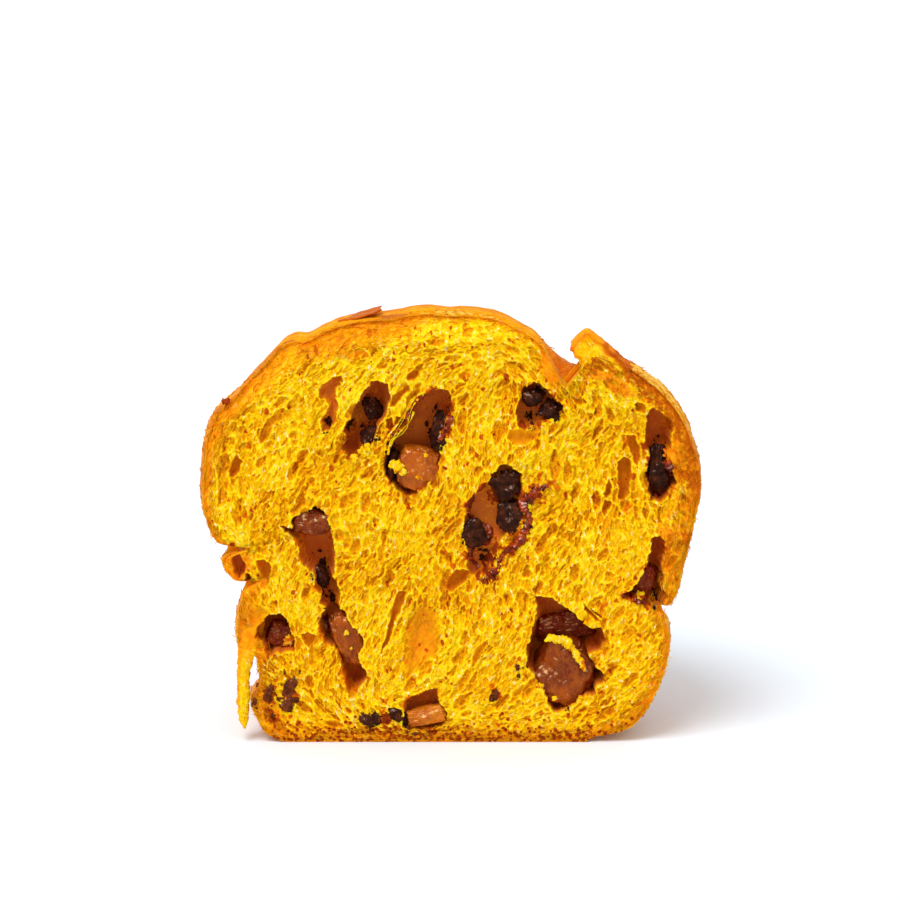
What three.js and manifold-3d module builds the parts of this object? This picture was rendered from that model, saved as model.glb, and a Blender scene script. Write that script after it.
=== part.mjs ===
// Half of a tall panettone, cut upright with a knife and standing on its base.
// Millimetres, +Z up. The cut face looks along -Y, with +X to its right.
// The loaf is a bulging dome over a narrower foot that baked inside a paper mould, with a crease between the two.
// Big bubbles open in the cut face, and candied fruit and chocolate sit in them and in the crumb.

import * as THREE from "three";
import { mergeVertices } from "three/addons/utils/BufferGeometryUtils.js";
import Module from "manifold-3d";

const wasm = await Module();
wasm.setup();

// ---- Driving dimensions -------------------------------------------------------------------------------------

const CUT_OFFSET = 14; // the knife passed this far in front of the loaf's upright axis
const CORE_HEIGHT = 68; // height of the point on that axis from which the crust is measured
const CROWN_HEIGHT = 135.2; // top of the dome, on the axis
const FOOT_RADIUS = 40; // inside this the base is flat

// Half-widths of the cut face against height, from the foot to the crown, left and right of the middle.
const LEFT_SIDE = [
  [57, 2.4], [60.8, 8], [64.5, 18], [66, 30], [65.8, 40], [65, 46.5], [67, 51], [70.8, 57.5], [70, 60.2],
  [67.6, 62], [71.8, 64.2], [75, 70], [76.8, 78], [76.3, 89], [75.5, 96], [72.5, 103.5], [66, 109.3],
  [57, 119], [49, 126], [41, 128.6], [27.5, 132.4], [15, 133.8],
];
const RIGHT_SIDE = [
  [54, 2.8], [59.5, 8], [64.3, 17], [67.8, 27], [68.5, 34], [67.8, 39.5], [69.6, 45], [71.3, 49.5], [72.2, 55],
  [74.2, 63], [76.2, 72.7], [77.3, 82], [76.4, 90.5], [74.3, 96.5], [71.8, 102.5], [67.7, 109], [60, 115.8],
  [53, 120], [44, 123.8], [34, 126.8], [24, 129.4], [12, 133],
];

// ---- Small helpers ------------------------------------------------------------------------------------------

const { atan2, cos, exp, hypot, max, min, sin, asin, PI } = Math;
const smooth = THREE.MathUtils.smoothstep;
const { lerp, degToRad } = THREE.MathUtils;

// Seeded random numbers from 0 to 1.
function randomFrom(seed) {
  let state = seed;
  return () => {
    state = (state + 0x6d2b79f5) | 0;
    let mixed = Math.imul(state ^ (state >>> 15), 1 | state);
    mixed = (mixed + Math.imul(mixed ^ (mixed >>> 7), 61 | mixed)) ^ mixed;
    return ((mixed ^ (mixed >>> 14)) >>> 0) / 4294967296;
  };
}

// A smooth uneven value from -1 to 1 in space: three waves that cross, of about the given wavelength.
function lumps(x, y, z, wavelength, phase) {
  const k = (2 * PI) / wavelength;
  return (
    (sin(k * (x + 0.4 * z) + phase) + sin(k * (y - 0.5 * x) + 2.1 * phase) + sin(k * (z + 0.3 * y) + 3.7 * phase)) / 3
  );
}

// A smooth curve through the points [place, value] of a list sorted by place: cubic pieces with central slopes.
function curveThrough(points) {
  const slope = points.map((_, i) => {
    const before = points[max(0, i - 1)];
    const after = points[min(points.length - 1, i + 1)];
    return (after[1] - before[1]) / (after[0] - before[0]);
  });
  return (place) => {
    let i = points.findIndex((p) => p[0] > place);
    if (i < 0) i = points.length;
    i = min(max(i, 1), points.length - 1) - 1;
    const [x0, y0] = points[i];
    const [x1, y1] = points[i + 1];
    const width = x1 - x0;
    const t = min(max((place - x0) / width, 0), 1);
    const rest = 1 - t;
    return (
      y0 * rest * rest * (1 + 2 * t) + y1 * t * t * (1 + 2 * rest) +
      width * t * rest * (slope[i] * rest - slope[i + 1] * t)
    );
  };
}

// A three.js geometry as a solid that can be joined and cut.
function solidFrom(geometry) {
  const bare = new THREE.BufferGeometry().setAttribute("position", geometry.getAttribute("position"));
  if (geometry.index) bare.setIndex(geometry.index);
  const merged = mergeVertices(bare, 1e-3);
  return new wasm.Manifold(
    new wasm.Mesh({
      numProp: 3,
      vertProperties: new Float32Array(merged.attributes.position.array),
      triVerts: new Uint32Array(merged.index.array),
    }),
  );
}

// The solid back as a geometry, each vertex stored once.
function geometryFrom(solid) {
  const mesh = solid.getMesh();
  const position = new Float32Array(mesh.numVert * 3);
  for (let i = 0; i < mesh.numVert; i++) {
    position.set(mesh.vertProperties.subarray(i * mesh.numProp, i * mesh.numProp + 3), i * 3);
  }
  return new THREE.BufferGeometry()
    .setAttribute("position", new THREE.BufferAttribute(position, 3))
    .setIndex(new THREE.BufferAttribute(mesh.triVerts, 1));
}

// Moves every vertex of a geometry to where move(point) puts it.
function reshape(geometry, move) {
  const position = geometry.getAttribute("position");
  const point = new THREE.Vector3();
  for (let i = 0; i < position.count; i++) {
    point.fromBufferAttribute(position, i);
    move(point);
    position.setXYZ(i, point.x, point.y, point.z);
  }
  return geometry;
}

// A closed surface through rings of equally many points, its first and last rings closed by a fan to their middle.
// The rings run anticlockwise as seen from outside the first one.
function loftThrough(rings) {
  const count = rings[0].length;
  const points = rings.flat();
  const middle = (ring) => ring.reduce((sum, p) => sum.add(p), new THREE.Vector3()).divideScalar(count);
  const first = points.push(middle(rings[0])) - 1;
  const last = points.push(middle(rings[rings.length - 1])) - 1;
  const end = (rings.length - 1) * count;
  const index = [];
  for (let j = 0; j < count; j++) {
    const next = (j + 1) % count;
    index.push(first, j, next);
    for (let i = 0; i < rings.length - 1; i++) {
      const a = i * count + j;
      const b = i * count + next;
      index.push(a, a + count, b, b, a + count, b + count);
    }
    index.push(last, end + next, end + j);
  }
  return new THREE.BufferGeometry().setFromPoints(points).setIndex(index);
}

// ---- The loaf's crust ---------------------------------------------------------------------------------------

// Distance from the core to the crust against the angle above the horizontal, down one side of the loaf.
function crustReach(side) {
  const points = [[FOOT_RADIUS, -4], ...side].map(([halfWidth, height]) => {
    const radius = hypot(halfWidth, CUT_OFFSET);
    return [atan2(height - CORE_HEIGHT, radius), hypot(radius, height - CORE_HEIGHT)];
  });
  const crown = CROWN_HEIGHT - CORE_HEIGHT;
  return curveThrough([[-PI / 2, 1.3 * CORE_HEIGHT], ...points, [PI / 2, crown]]);
}

const leftReach = crustReach(LEFT_SIDE);
const rightReach = crustReach(RIGHT_SIDE);

// Distance from the core to the crust in a direction: the two side profiles blend round the back, and the
// flat base stops what would pass below it.
function reachAlong(direction) {
  const { x, y, z } = direction;
  const across = hypot(x, y);
  const rise = atan2(z, across);
  const share = across > 1e-9 ? (1 + x / across) / 2 : 0.5;
  const uneven = 1 + 0.009 * lumps(x, y, z, 1.3, 0.7) * smooth(y, 0.1, 0.5);
  const reach = lerp(leftReach(rise), rightReach(rise), share) * uneven;
  return z < -1e-9 ? min(reach, CORE_HEIGHT / -z) : reach;
}

// The scored top: the knife cross of the baker opened into a smooth pillow, with a groove along its edge.
// The groove is deepest on the right, where the skin outside it lifted into an ear.
const PILLOW = { left: -45, right: 39.5, back: 45, corner: 14 };
const GROOVE = { right: 10, back: 4, left: 1.6, width: 5 };

// Distance in plan from the pillow's rounded rectangular edge, negative inside it.
function pillowEdge(x, y) {
  const halfWide = (PILLOW.right - PILLOW.left) / 2;
  const dx = Math.abs(x - (PILLOW.right + PILLOW.left) / 2) - halfWide + PILLOW.corner;
  const dy = Math.abs(y) - PILLOW.back + PILLOW.corner;
  return hypot(max(dx, 0), max(dy, 0)) + min(max(dx, dy), 0) - PILLOW.corner;
}

// Behind the cut the skin sags by this much towards the groove on the right.
const SAG = 5;

// How far the groove sinks the crust. At the cut the knife dragged its inner side 5 mm lower.
function grooveDepth(x, y) {
  const edge = pillowEdge(x, y);
  const onRight = smooth(x, 18, 34) * (1 - smooth(y, 40, 58));
  const drag = 5 * onRight * (1 - smooth(y, 1, 9));
  const deep = lerp(lerp(GROOVE.left, GROOVE.back, smooth(x, -36, -10)), GROOVE.right, onRight) + drag;
  const width = edge < 0 ? GROOVE.width * (1 + 0.9 * onRight) : 0.6 * GROOVE.width;
  const sag = SAG * smooth(x, 12, 36) * (1 - smooth(x, 42, 60)) * smooth(y, 0, 16) * (1 - smooth(y, 40, 60));
  return deep * exp(-((edge / width) ** 2)) + sag;
}

// At the lower left the wall tore away from the crumb over this height, and left a hanging strip.
const TEAR = { low: 2, high: 34, depth: 5.4, behindCut: 24 };

// The crust's point in a direction from the core, with the groove and the tear pressed into it.
function crustPoint(direction) {
  const point = direction.clone().multiplyScalar(reachAlong(direction));
  point.add(new THREE.Vector3(0, CUT_OFFSET, CORE_HEIGHT));
  if (point.z > CORE_HEIGHT + 20) point.z -= grooveDepth(point.x, point.y);
  const { low, high, depth, behindCut } = TEAR;
  const torn = smooth(point.z, low, low + 12) * (1 - smooth(point.z, high - 7, high)) * (point.x < 0 ? 1 : 0);
  point.x += depth * torn * (1 - smooth(point.y, 4, behindCut)) * smooth(-point.x, 30, 55);
  return point;
}

// Directions of the rays round the cut face: one through every listed point of the sides, and more between.
function rayAngles() {
  const sides = [...RIGHT_SIDE.map(([x, z]) => atan2(z - CORE_HEIGHT, x)),
    ...LEFT_SIDE.map(([x, z]) => atan2(z - CORE_HEIGHT, -x)).map((a) => (a < -PI / 2 ? a + 2 * PI : a))];
  const grooveRays = [40, 44, 46.5, 48.5, 50.5, 52.5, 55, 58, 62].map(degToRad);
  const listed = [...sides, ...grooveRays].sort((a, b) => a - b);
  const widest = degToRad(6);
  const all = [];
  listed.forEach((angle, i) => {
    const next = i + 1 < listed.length ? listed[i + 1] : listed[0] + 2 * PI;
    if (next - angle < degToRad(1.2)) return;
    const steps = Math.ceil((next - angle) / widest);
    for (let k = 0; k < steps; k++) all.push(lerp(angle, next, k / steps));
  });
  return all;
}

// The whole uncut side of the loaf behind the knife, run on a little in front of it so that the knife can cut it.
function crustGeometry() {
  const ROWS = 15;
  const IN_FRONT = 8;
  const angles = rayAngles();
  const directionAt = (turn, back) =>
    new THREE.Vector3(cos(back) * cos(turn), sin(back), cos(back) * sin(turn));
  const firstBack = angles.map((turn) => {
    let back = 0;
    for (let pass = 0; pass < 8; pass++) back = -asin(CUT_OFFSET / reachAlong(directionAt(turn, back)));
    return back;
  });
  const rings = [];
  for (let row = 0; row < ROWS; row++) {
    rings.push(angles.map((turn, i) => crustPoint(directionAt(turn, lerp(firstBack[i], PI / 2, row / ROWS)))));
  }
  const front = rings[0].map((p) => new THREE.Vector3(p.x, p.y - IN_FRONT, p.z));
  return loftThrough([front, ...rings]);
}

// ---- Crumb of the cut face ----------------------------------------------------------------------------------

// Depth of the torn crumb below the knife's plane: shallow upright pits between ridges that reach the plane.
function crumbDepth(x, z) {
  const bend = 3 * sin(z / 23) + 2 * sin(x / 17);
  const pits = sin((x + bend) / 1.9) * sin((z - 0.3 * x + 2 * bend) / 3.3);
  return 0.9 + 0.7 * pits + 0.5 * lumps(x, 0, z, 31, 1.9);
}

// What the knife took away: a block whose far side is the torn crumb.
function knifeSolid() {
  const STEP = 4.4;
  const [wide, thick, tall] = [170, 40, 150];
  const block = new THREE.BoxGeometry(wide, thick, tall, Math.round(wide / STEP), 1, Math.round(tall / STEP));
  block.translate(0, 0, tall / 2 - 6);
  return solidFrom(reshape(block, (p) => {
    p.y = p.y > 0 ? crumbDepth(p.x, p.z) : p.y;
  }));
}

// A ball pulled to half-sizes [across, deep, tall], uneven by a share of its size, tipped about Y by degrees
// (positive leans its top to the right) and centred at a point.
function lumpyBall([x, y, z], [across, deep, tall], tip, uneven, phase) {
  const ball = new THREE.SphereGeometry(1, 12, 8);
  reshape(ball, (p) => p.multiplyScalar(1 + uneven * lumps(p.x, p.y, p.z, 1.7, phase)));
  return ball.scale(across, deep, tall).rotateY(degToRad(tip)).translate(x, y, z);
}

// Big bubbles that open in the cut: middle [x, z], half-sizes [across, tall], depth, and tip in degrees.
const BUBBLES = {
  upper_left_narrow: [[-37.2, 107.5], [2.8, 7.6], 5, 16],
  upper_left: [[-26, 102], [5.1, 12], 14, 24],
  upper_middle: [[-9, 100.5], [6.2, 13.5], 15, 34],
  upper_right: [[27.6, 106.5], [6.8, 5.6], 9, -20],
  heart: [[12, 71], [7, 15], 6.5, 22],
  right_edge: [[65, 90.5], [4, 13.5], 11, -4],
  right_waist: [[62, 53.5], [3.8, 9.6], 12, 26],
  right_small: [[54.6, 83.5], [2.5, 7.6], 6, 4],
  left_channel: [[-40.8, 57], [4.4, 16.5], 13, -10],
  left_channel_foot: [[-31.6, 27.5], [4.8, 12], 12, -20],
  left_arch: [[-54, 32.5], [5.6, 6.2], 15, 0],
  middle_pocket: [[-10.6, 29.5], [6, 12], 4, 12],
  foot_slot: [[-6, 13.4], [5.6, 2.6], 8, 24],
  lower_right_top: [[36.4, 37.4], [11, 7.4], 18, -24],
  lower_right: [[35.6, 21.6], [9.6, 12.4], 19, 0],
  left_oval: [[-66.2, 82], [2.1, 3.6], 4, 0],
  left_fold: [[-66.2, 56.2], [1.7, 3.4], 7, -24],
};

function bubbleSolids() {
  return Object.values(BUBBLES).map(([[x, z], [across, tall], deep, tip], i) =>
    solidFrom(lumpyBall([x, 0, z], [across, deep, tall], tip, 0.1, i + 1)),
  );
}

// ---- Creases, ear and loose crust ---------------------------------------------------------------------------

// The crease where the dome rose over the mould's rim: a V ring, higher on the left than on the right.
function waistSolid() {
  const WAIST = { height: 46.4, deep: 62.5, outside: 84, gape: 1.5, tilt: -3.3, segments: 36 };
  const flare = (WAIST.gape * (WAIST.outside - WAIST.deep)) / 5;
  const section = [[WAIST.deep, 0], [WAIST.outside, -flare], [WAIST.outside, flare], [WAIST.deep, 0]];
  const ring = new THREE.LatheGeometry(section.map(([r, z]) => new THREE.Vector2(r, z)), WAIST.segments);
  ring.rotateX(PI / 2).scale(1, 1.05, 1).rotateY(-degToRad(WAIST.tilt)).translate(0, CUT_OFFSET, WAIST.height);
  return solidFrom(ring);
}

// Height of the crust above a point of the plan, groove left out: where the core's reach meets that upright line.
function domeHeight(x, y) {
  let [low, high] = [CORE_HEIGHT, CROWN_HEIGHT + 20];
  for (let pass = 0; pass < 40; pass++) {
    const middle = (low + high) / 2;
    const offset = new THREE.Vector3(x, y - CUT_OFFSET, middle - CORE_HEIGHT);
    const distance = offset.length();
    if (distance < reachAlong(offset.divideScalar(distance))) low = middle;
    else high = middle;
  }
  return low;
}

// The ear: the skin right of the groove, lifted along its edge. Each ring is its upright section at one depth,
// [x, height above the dome], and it sinks into the dome towards the back.
function earSolid() {
  const SECTION = [
    [41.4, -13], [41.2, -6.6], [40.2, -4.4], [37.9, -1], [38.7, 0.8], [41, 3], [43.2, 4.2], [48.2, 1.5],
    [53, 0], [58, -1.4], [61, -4], [52, -13],
  ].reverse();
  const BACK = 40;
  const ROWS = 7;
  const rings = [];
  for (let row = 0; row <= ROWS; row++) {
    const y = lerp(-4, BACK, row / ROWS);
    const lift = 1 - smooth(y, 6, BACK);
    rings.push(SECTION.map(([x, above]) => {
      const base = domeHeight(min(x, 58), max(y, 0)) - (x > 58 ? 2 : 0);
      return new THREE.Vector3(x + 0.03 * y, y, base + above * (above > 0 ? lift : 1) - 3 * (1 - lift));
    }));
  }
  return solidFrom(loftThrough(rings));
}

// A flake of skin behind the cut, near the top on the left: a thin wedge whose right end stands clear.
function flakeSolid() {
  const FLAKE = { left: -39, right: -20.5, y: 24, deep: 8, thick: 1.3, rise: 3.2 };
  const STEPS = 5;
  const rings = [];
  for (let step = 0; step <= STEPS; step++) {
    const share = step / STEPS;
    const x = lerp(FLAKE.left, FLAKE.right, share);
    const foot = domeHeight(x, FLAKE.y) - 1;
    const top = foot + 1 + FLAKE.rise * share ** 1.3;
    const half = FLAKE.deep / 2;
    rings.push([
      new THREE.Vector3(x, FLAKE.y - 1.6, foot - FLAKE.thick),
      new THREE.Vector3(x, FLAKE.y - 1.6, top),
      new THREE.Vector3(x + 0.6, FLAKE.y + half, top - 0.8),
      new THREE.Vector3(x + 0.6, FLAKE.y + half, foot - FLAKE.thick - 1.6),
    ]);
  }
  return solidFrom(loftThrough(rings));
}

// The strip of wall that hangs from the waist at the lower left: [x, z, half-width] down its length.
function stripSolid() {
  const LENGTH = [
    [-62, 41, 4], [-62.8, 34, 3.9], [-64.1, 27.5, 2.6], [-64.8, 20, 2], [-65, 13, 2], [-64.9, 8, 1.8],
    [-64.8, 5, 0.8],
  ];
  const DEPTH = [-3, 6.5];
  const rings = LENGTH.map(([x, z, half]) => [
    new THREE.Vector3(x - half, DEPTH[0], z),
    new THREE.Vector3(x + half, DEPTH[0], z),
    new THREE.Vector3(x + 0.8 * half, DEPTH[1] - 1, z),
    new THREE.Vector3(x - 0.4 * half, DEPTH[1], z),
  ]);
  return solidFrom(loftThrough(rings));
}

// ---- Candied fruit ------------------------------------------------------------------------------------------

// Each piece of candied fruit: middle [x, y, z], half-sizes [across, deep, tall] and tip in degrees.
const FRUIT = {
  fruit_upper_middle: [[-10, 5.4, 87.6], [6.6, 5, 6.6], 14],
  fruit_left_channel: [[-43, 5, 70.2], [6.2, 4.5, 3.9], 8],
  fruit_channel_foot: [[-31.8, 5.8, 33], [4.4, 4.6, 8.2], -22],
  fruit_left_arch: [[-53, 9.6, 33], [4.6, 4, 4], 18],
  fruit_foot: [[-7.6, 3.2, 8.2], [6.3, 3.4, 2.9], -14],
  fruit_lower_right: [[35.4, 8.6, 21.4], [9.6, 7, 10.2], 28],
  fruit_lower_right_back: [[37, 15.6, 34.6], [9.6, 4.4, 4.6], -8],
  fruit_right_waist: [[60.6, 8.6, 51], [3.6, 4, 5.4], 24],
};

// A sugared cube of fruit: a box drawn halfway to a ball, then made uneven.
function fruitGeometry([[x, y, z], [across, deep, tall], tip], phase, grow) {
  const cube = new THREE.BoxGeometry(2, 2, 2, 3, 3, 3);
  reshape(cube, (p) => {
    const rounded = p.clone().normalize().multiplyScalar(1.28);
    p.lerp(rounded, 0.62).multiplyScalar(0.93 + 0.07 * lumps(p.x, p.y, p.z, 2.3, phase));
  });
  return cube.scale(across + grow, deep + grow, tall + grow).rotateY(degToRad(tip)).translate(x, y, z);
}

// ---- Chocolate ----------------------------------------------------------------------------------------------

// Each chunk of chocolate: middle [x, y, z], half-sizes [across, deep, tall] and tip in degrees.
const CHOCOLATE = {
  chocolate_upper_left_top: [[-23.6, 7, 105.6], [3.4, 2.8, 2.3], 60],
  chocolate_upper_left_low: [[-24.6, 5, 96.6], [2.6, 2.8, 3.3], 30],
  chocolate_upper_middle: [[-3.4, 5, 100], [2.6, 2.8, 5.2], 12],
  chocolate_upper_middle_left: [[-17.6, 5, 88], [1.9, 2.6, 5.2], 12],
  chocolate_upper_right_top: [[25.4, 4.6, 110], [2.8, 2.6, 2.6], 0],
  chocolate_upper_right: [[31, 3.6, 105.6], [3, 2.6, 2.9], 20],
  chocolate_heart_top: [[17.6, 2.2, 82.8], [4.3, 2.6, 4.1], 0],
  chocolate_heart_middle: [[18.4, 2.4, 72.6], [3.6, 2.6, 4.8], 8],
  chocolate_heart_low: [[7.7, 2.2, 67], [3.4, 2.6, 3.9], -8],
  chocolate_right_edge: [[64.6, 5, 88.4], [3.4, 3.2, 6.4], 0],
  chocolate_left_channel: [[-40.6, 7.4, 51.8], [3, 2.6, 3], 30],
  chocolate_foot_left: [[-57, 2.4, 15.4], [2, 2.4, 4.2], 10],
  chocolate_foot_left_upper: [[-49.8, 2, 17.8], [3.3, 2.2, 1.9], -70],
  chocolate_foot_left_lower: [[-50.6, 2, 12.4], [2.8, 2.2, 1.9], 0],
  chocolate_foot_middle: [[-24.6, 2, 7.4], [3.4, 2.6, 2.8], 0],
  chocolate_foot_middle_right: [[-17, 2.2, 8.2], [3.2, 2.4, 2.6], 20],
};

function chocolateGeometry([[x, y, z], [across, deep, tall], tip], phase, grow) {
  const lump = new THREE.IcosahedronGeometry(1, 1);
  reshape(lump, (p) => p.multiplyScalar(1 + 0.16 * lumps(p.x, p.y, p.z, 1.2, phase)));
  return lump.scale(across + grow, deep + grow, tall + grow).rotateY(degToRad(tip)).translate(x, y, z);
}

// ---- Assembly -----------------------------------------------------------------------------------------------

const CLEARANCE = 0.35; // between two neighbours
const AMBER = 0xb4560f;
const COCOA = 0x2a120c;

// Every piece of fruit and chocolate as a solid, and grown by the clearance to cut its neighbours.
// A piece gives way to those before it.
function inclusionSolids() {
  const listed = [
    ...Object.entries(FRUIT).map(([name, place]) => ({ name, place, shape: fruitGeometry, colour: AMBER })),
    ...Object.entries(CHOCOLATE).map(([name, place]) => ({ name, place, shape: chocolateGeometry, colour: COCOA })),
  ];
  const made = [];
  listed.forEach(({ name, place, shape, colour }, i) => {
    let solid = solidFrom(shape(place, i + 2, 0));
    for (const earlier of made) solid = solid.subtract(earlier.grown);
    made.push({ name, colour, solid: largestPart(solid), grown: solidFrom(shape(place, i + 2, CLEARANCE)) });
  });
  return made;
}

function largestPart(solid) {
  return solid.decompose().sort((a, b) => b.volume() - a.volume())[0];
}

// The bread: crust, ear, flake and strip joined, then the crease, the knife, the bubbles and a socket for each
// piece cut out of them. Scraps that the cuts leave loose are dropped.
function breadSolid(inclusions) {
  const crust = solidFrom(crustGeometry());
  const whole = [earSolid(), flakeSolid(), stripSolid()].reduce((joined, part) => joined.add(part), crust);
  const cuts = [waistSolid(), knifeSolid(), ...bubbleSolids(), ...inclusions.map((piece) => piece.grown)];
  return largestPart(cuts.reduce((left, cut) => left.subtract(cut), whole));
}

function meshOf(name, solid, color, roughness) {
  const mesh = new THREE.Mesh(
    geometryFrom(solid),
    new THREE.MeshStandardMaterial({ color, roughness, metalness: 0 }),
  );
  mesh.name = name;
  return mesh;
}

const panettone = new THREE.Group();
panettone.name = "panettone_half";
const inclusions = inclusionSolids();
panettone.add(meshOf("bread", breadSolid(inclusions), 0xe0a010, 0.85));
for (const { name, solid, colour } of inclusions) panettone.add(meshOf(name, solid, colour, 0.4));

// The origin is under the middle of the half, on the surface that it stands on.
const box = new THREE.Box3().setFromObject(panettone);
const centre = box.getCenter(new THREE.Vector3());
panettone.position.set(-centre.x, -centre.y, -box.min.z);

export default panettone;
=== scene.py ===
import math

import bpy
import numpy as np
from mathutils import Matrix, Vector


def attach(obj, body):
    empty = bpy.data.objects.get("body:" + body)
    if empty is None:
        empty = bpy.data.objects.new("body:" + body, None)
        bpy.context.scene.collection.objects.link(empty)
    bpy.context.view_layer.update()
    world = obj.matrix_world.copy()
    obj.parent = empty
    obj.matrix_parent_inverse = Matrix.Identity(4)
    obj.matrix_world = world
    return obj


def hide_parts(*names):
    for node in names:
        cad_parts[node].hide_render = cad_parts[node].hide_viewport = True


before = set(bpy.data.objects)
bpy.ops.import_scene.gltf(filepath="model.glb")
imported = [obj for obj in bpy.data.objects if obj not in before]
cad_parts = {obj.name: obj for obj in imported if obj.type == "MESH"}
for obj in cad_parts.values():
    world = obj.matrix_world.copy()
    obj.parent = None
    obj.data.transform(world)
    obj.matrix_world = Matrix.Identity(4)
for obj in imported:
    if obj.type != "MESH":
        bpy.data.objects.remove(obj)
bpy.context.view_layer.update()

# ---- Camera ---------------------------------------------------------------------------------------------------
# The half loaf is seen squarely from the front, from a little above, through a long lens.
# The picture's width spans 278.5 mm of the knife's plane.
KNIFE_Y = -0.0457545
MIDDLE_X = -0.0002337
VIEW_WIDTH = 0.2785
VIEW_DISTANCE = 1.15
VIEW_ELEVATION = math.radians(12)
AIM_HEIGHT = 0.0941

camera = bpy.data.objects.new("camera", bpy.data.cameras.new("camera"))
bpy.context.scene.collection.objects.link(camera)
camera.data.sensor_width = 36
camera.data.lens = 36 * VIEW_DISTANCE / VIEW_WIDTH
camera.location = (
    MIDDLE_X,
    KNIFE_Y - VIEW_DISTANCE * math.cos(VIEW_ELEVATION),
    AIM_HEIGHT + VIEW_DISTANCE * math.sin(VIEW_ELEVATION),
)
camera.rotation_euler = (math.pi / 2 - VIEW_ELEVATION, 0, 0)
bpy.context.scene.camera = camera

# ---- Light ----------------------------------------------------------------------------------------------------
# One very wide lamp, high at the front left, throws the soft short shadow to the right and back.
# The white room and the white floor light the rest.
LAMP_DIRECTION = (-0.40, -0.60, 1.18)
LAMP_STRENGTH = 1.85
LAMP_SPREAD = math.radians(32)
ROOM_STRENGTH = 0.78

lamp = bpy.data.lights.new("lamp", "SUN")
lamp.energy = LAMP_STRENGTH
lamp.angle = LAMP_SPREAD
lamp_object = bpy.data.objects.new("lamp", lamp)
bpy.context.scene.collection.objects.link(lamp_object)
lamp_object.location = LAMP_DIRECTION
lamp_object.rotation_euler = Vector(LAMP_DIRECTION).to_track_quat("Z", "Y").to_euler()

room = bpy.data.worlds.new("room")
bpy.context.scene.world = room
room.use_nodes = True
glow = room.node_tree.nodes["Background"]
glow.inputs["Color"].default_value = (1, 1, 1, 1)
glow.inputs["Strength"].default_value = ROOM_STRENGTH
bpy.context.scene.view_settings.view_transform = "Standard"

# ---- Floor ----------------------------------------------------------------------------------------------------
# A wide white sheet of smooth paper that fades into the white room.
FLOOR_HALF = 6.0

floor_mesh = bpy.data.meshes.new("floor")
corners = [(FLOOR_HALF * i, FLOOR_HALF * k, 0) for i, k in ((-1, -1), (1, -1), (1, 1), (-1, 1))]
floor_mesh.from_pydata(corners, [], [(0, 1, 2, 3)])
floor = bpy.data.objects.new("floor", floor_mesh)
bpy.context.scene.collection.objects.link(floor)
paper = bpy.data.materials.new("white_paper")
paper.use_nodes = True
sheet = paper.node_tree.nodes["Principled BSDF"]
sheet.inputs["Roughness"].default_value = 0.8
sheet.inputs["Base Color"].default_value = (0.85, 0.93, 1.0, 1)
floor_mesh.materials.append(paper)

# ---- The loaf's form ------------------------------------------------------------------------------------------
# A sourdough dome that rose out of a narrower paper mould and bulged over its rim.
# Millimetres here: x from the loaf's upright axis, y back from the knife's plane, z up from the base.
CUT_OFFSET = 14
CORE_HEIGHT = 68
CROWN_HEIGHT = 135.2
FOOT_RADIUS = 40
WAVE_LENGTH = 1.3
WAVE_HEIGHT = 0.003
LEFT_SIDE = [
    (57, 2.4), (60.8, 8), (64.5, 18), (66, 30), (65.8, 40), (65, 46.5), (67, 51), (70.8, 57.5), (70, 60.2),
    (67.6, 62), (71.8, 64.2), (75, 70), (76.8, 78), (76.3, 89), (75.5, 96), (72.5, 103.5), (66, 109.3), (57, 119),
    (49, 126), (41, 128.6), (27.5, 132.4), (15, 133.8),
]
RIGHT_SIDE = [
    (44, 1.3), (50, 2.6), (56, 4.4), (60.8, 8.6), (64.8, 17), (67.8, 27), (68.5, 34), (67.8, 39.5), (69.6, 45),
    (71.3, 49.5), (72.2, 55), (74.2, 63), (76.2, 72.7), (77.3, 82), (76.4, 90.5), (74.3, 96.5), (71.8, 102.5),
    (67.7, 109), (60, 115.8), (53, 120), (44, 123.8), (34, 126.8), (24, 129.4), (12, 133),
]


def ease(value, low, high):
    """0 below low, 1 above high, and 3t^2 - 2t^3 of the share between."""
    share = np.clip((value - low) / (high - low), 0, 1)
    return share * share * (3 - 2 * share)


def patches(x, y, z, size, seed):
    """Smooth random values from -1 to 1: a seeded value at each corner of a cubic lattice of that size, blended
    along each axis by 3t^2 - 2t^3 of the place between the corners."""
    corners = np.random.default_rng(seed).uniform(-1, 1, (32, 32, 32)).astype(np.float32)
    x, y, z = np.broadcast_arrays(x, y, z)
    lows = [np.floor(c / size).astype(np.int32) for c in (x, y, z)]
    shares = [ease((c / size - low).astype(np.float32), 0, 1) for c, low in zip((x, y, z), lows)]
    total = np.zeros(x.shape, np.float32)
    for i in (0, 1):
        for j in (0, 1):
            for k in (0, 1):
                weight = 1
                for step, share in zip((i, j, k), shares):
                    weight = weight * (share if step else 1 - share)
                at = [(low + step) % 32 for low, step in zip(lows, (i, j, k))]
                total += weight * corners[at[0], at[1], at[2]]
    return total


def curve_through(points):
    """A smooth curve through (place, value) points: cubic pieces whose slopes are those between the neighbours."""
    place, value = np.array(points, float).T
    before = np.maximum(np.arange(len(place)) - 1, 0)
    after = np.minimum(np.arange(len(place)) + 1, len(place) - 1)
    slope = (value[after] - value[before]) / (place[after] - place[before])

    def along(x):
        i = np.clip(np.searchsorted(place, x, side="right"), 1, len(place) - 1) - 1
        width = place[i + 1] - place[i]
        t = np.clip((x - place[i]) / width, 0, 1)
        rest = 1 - t
        ends = value[i] * rest**2 * (1 + 2 * t) + value[i + 1] * t**2 * (1 + 2 * rest)
        return ends + width * t * rest * (slope[i] * rest - slope[i + 1] * t)

    return along


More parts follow.
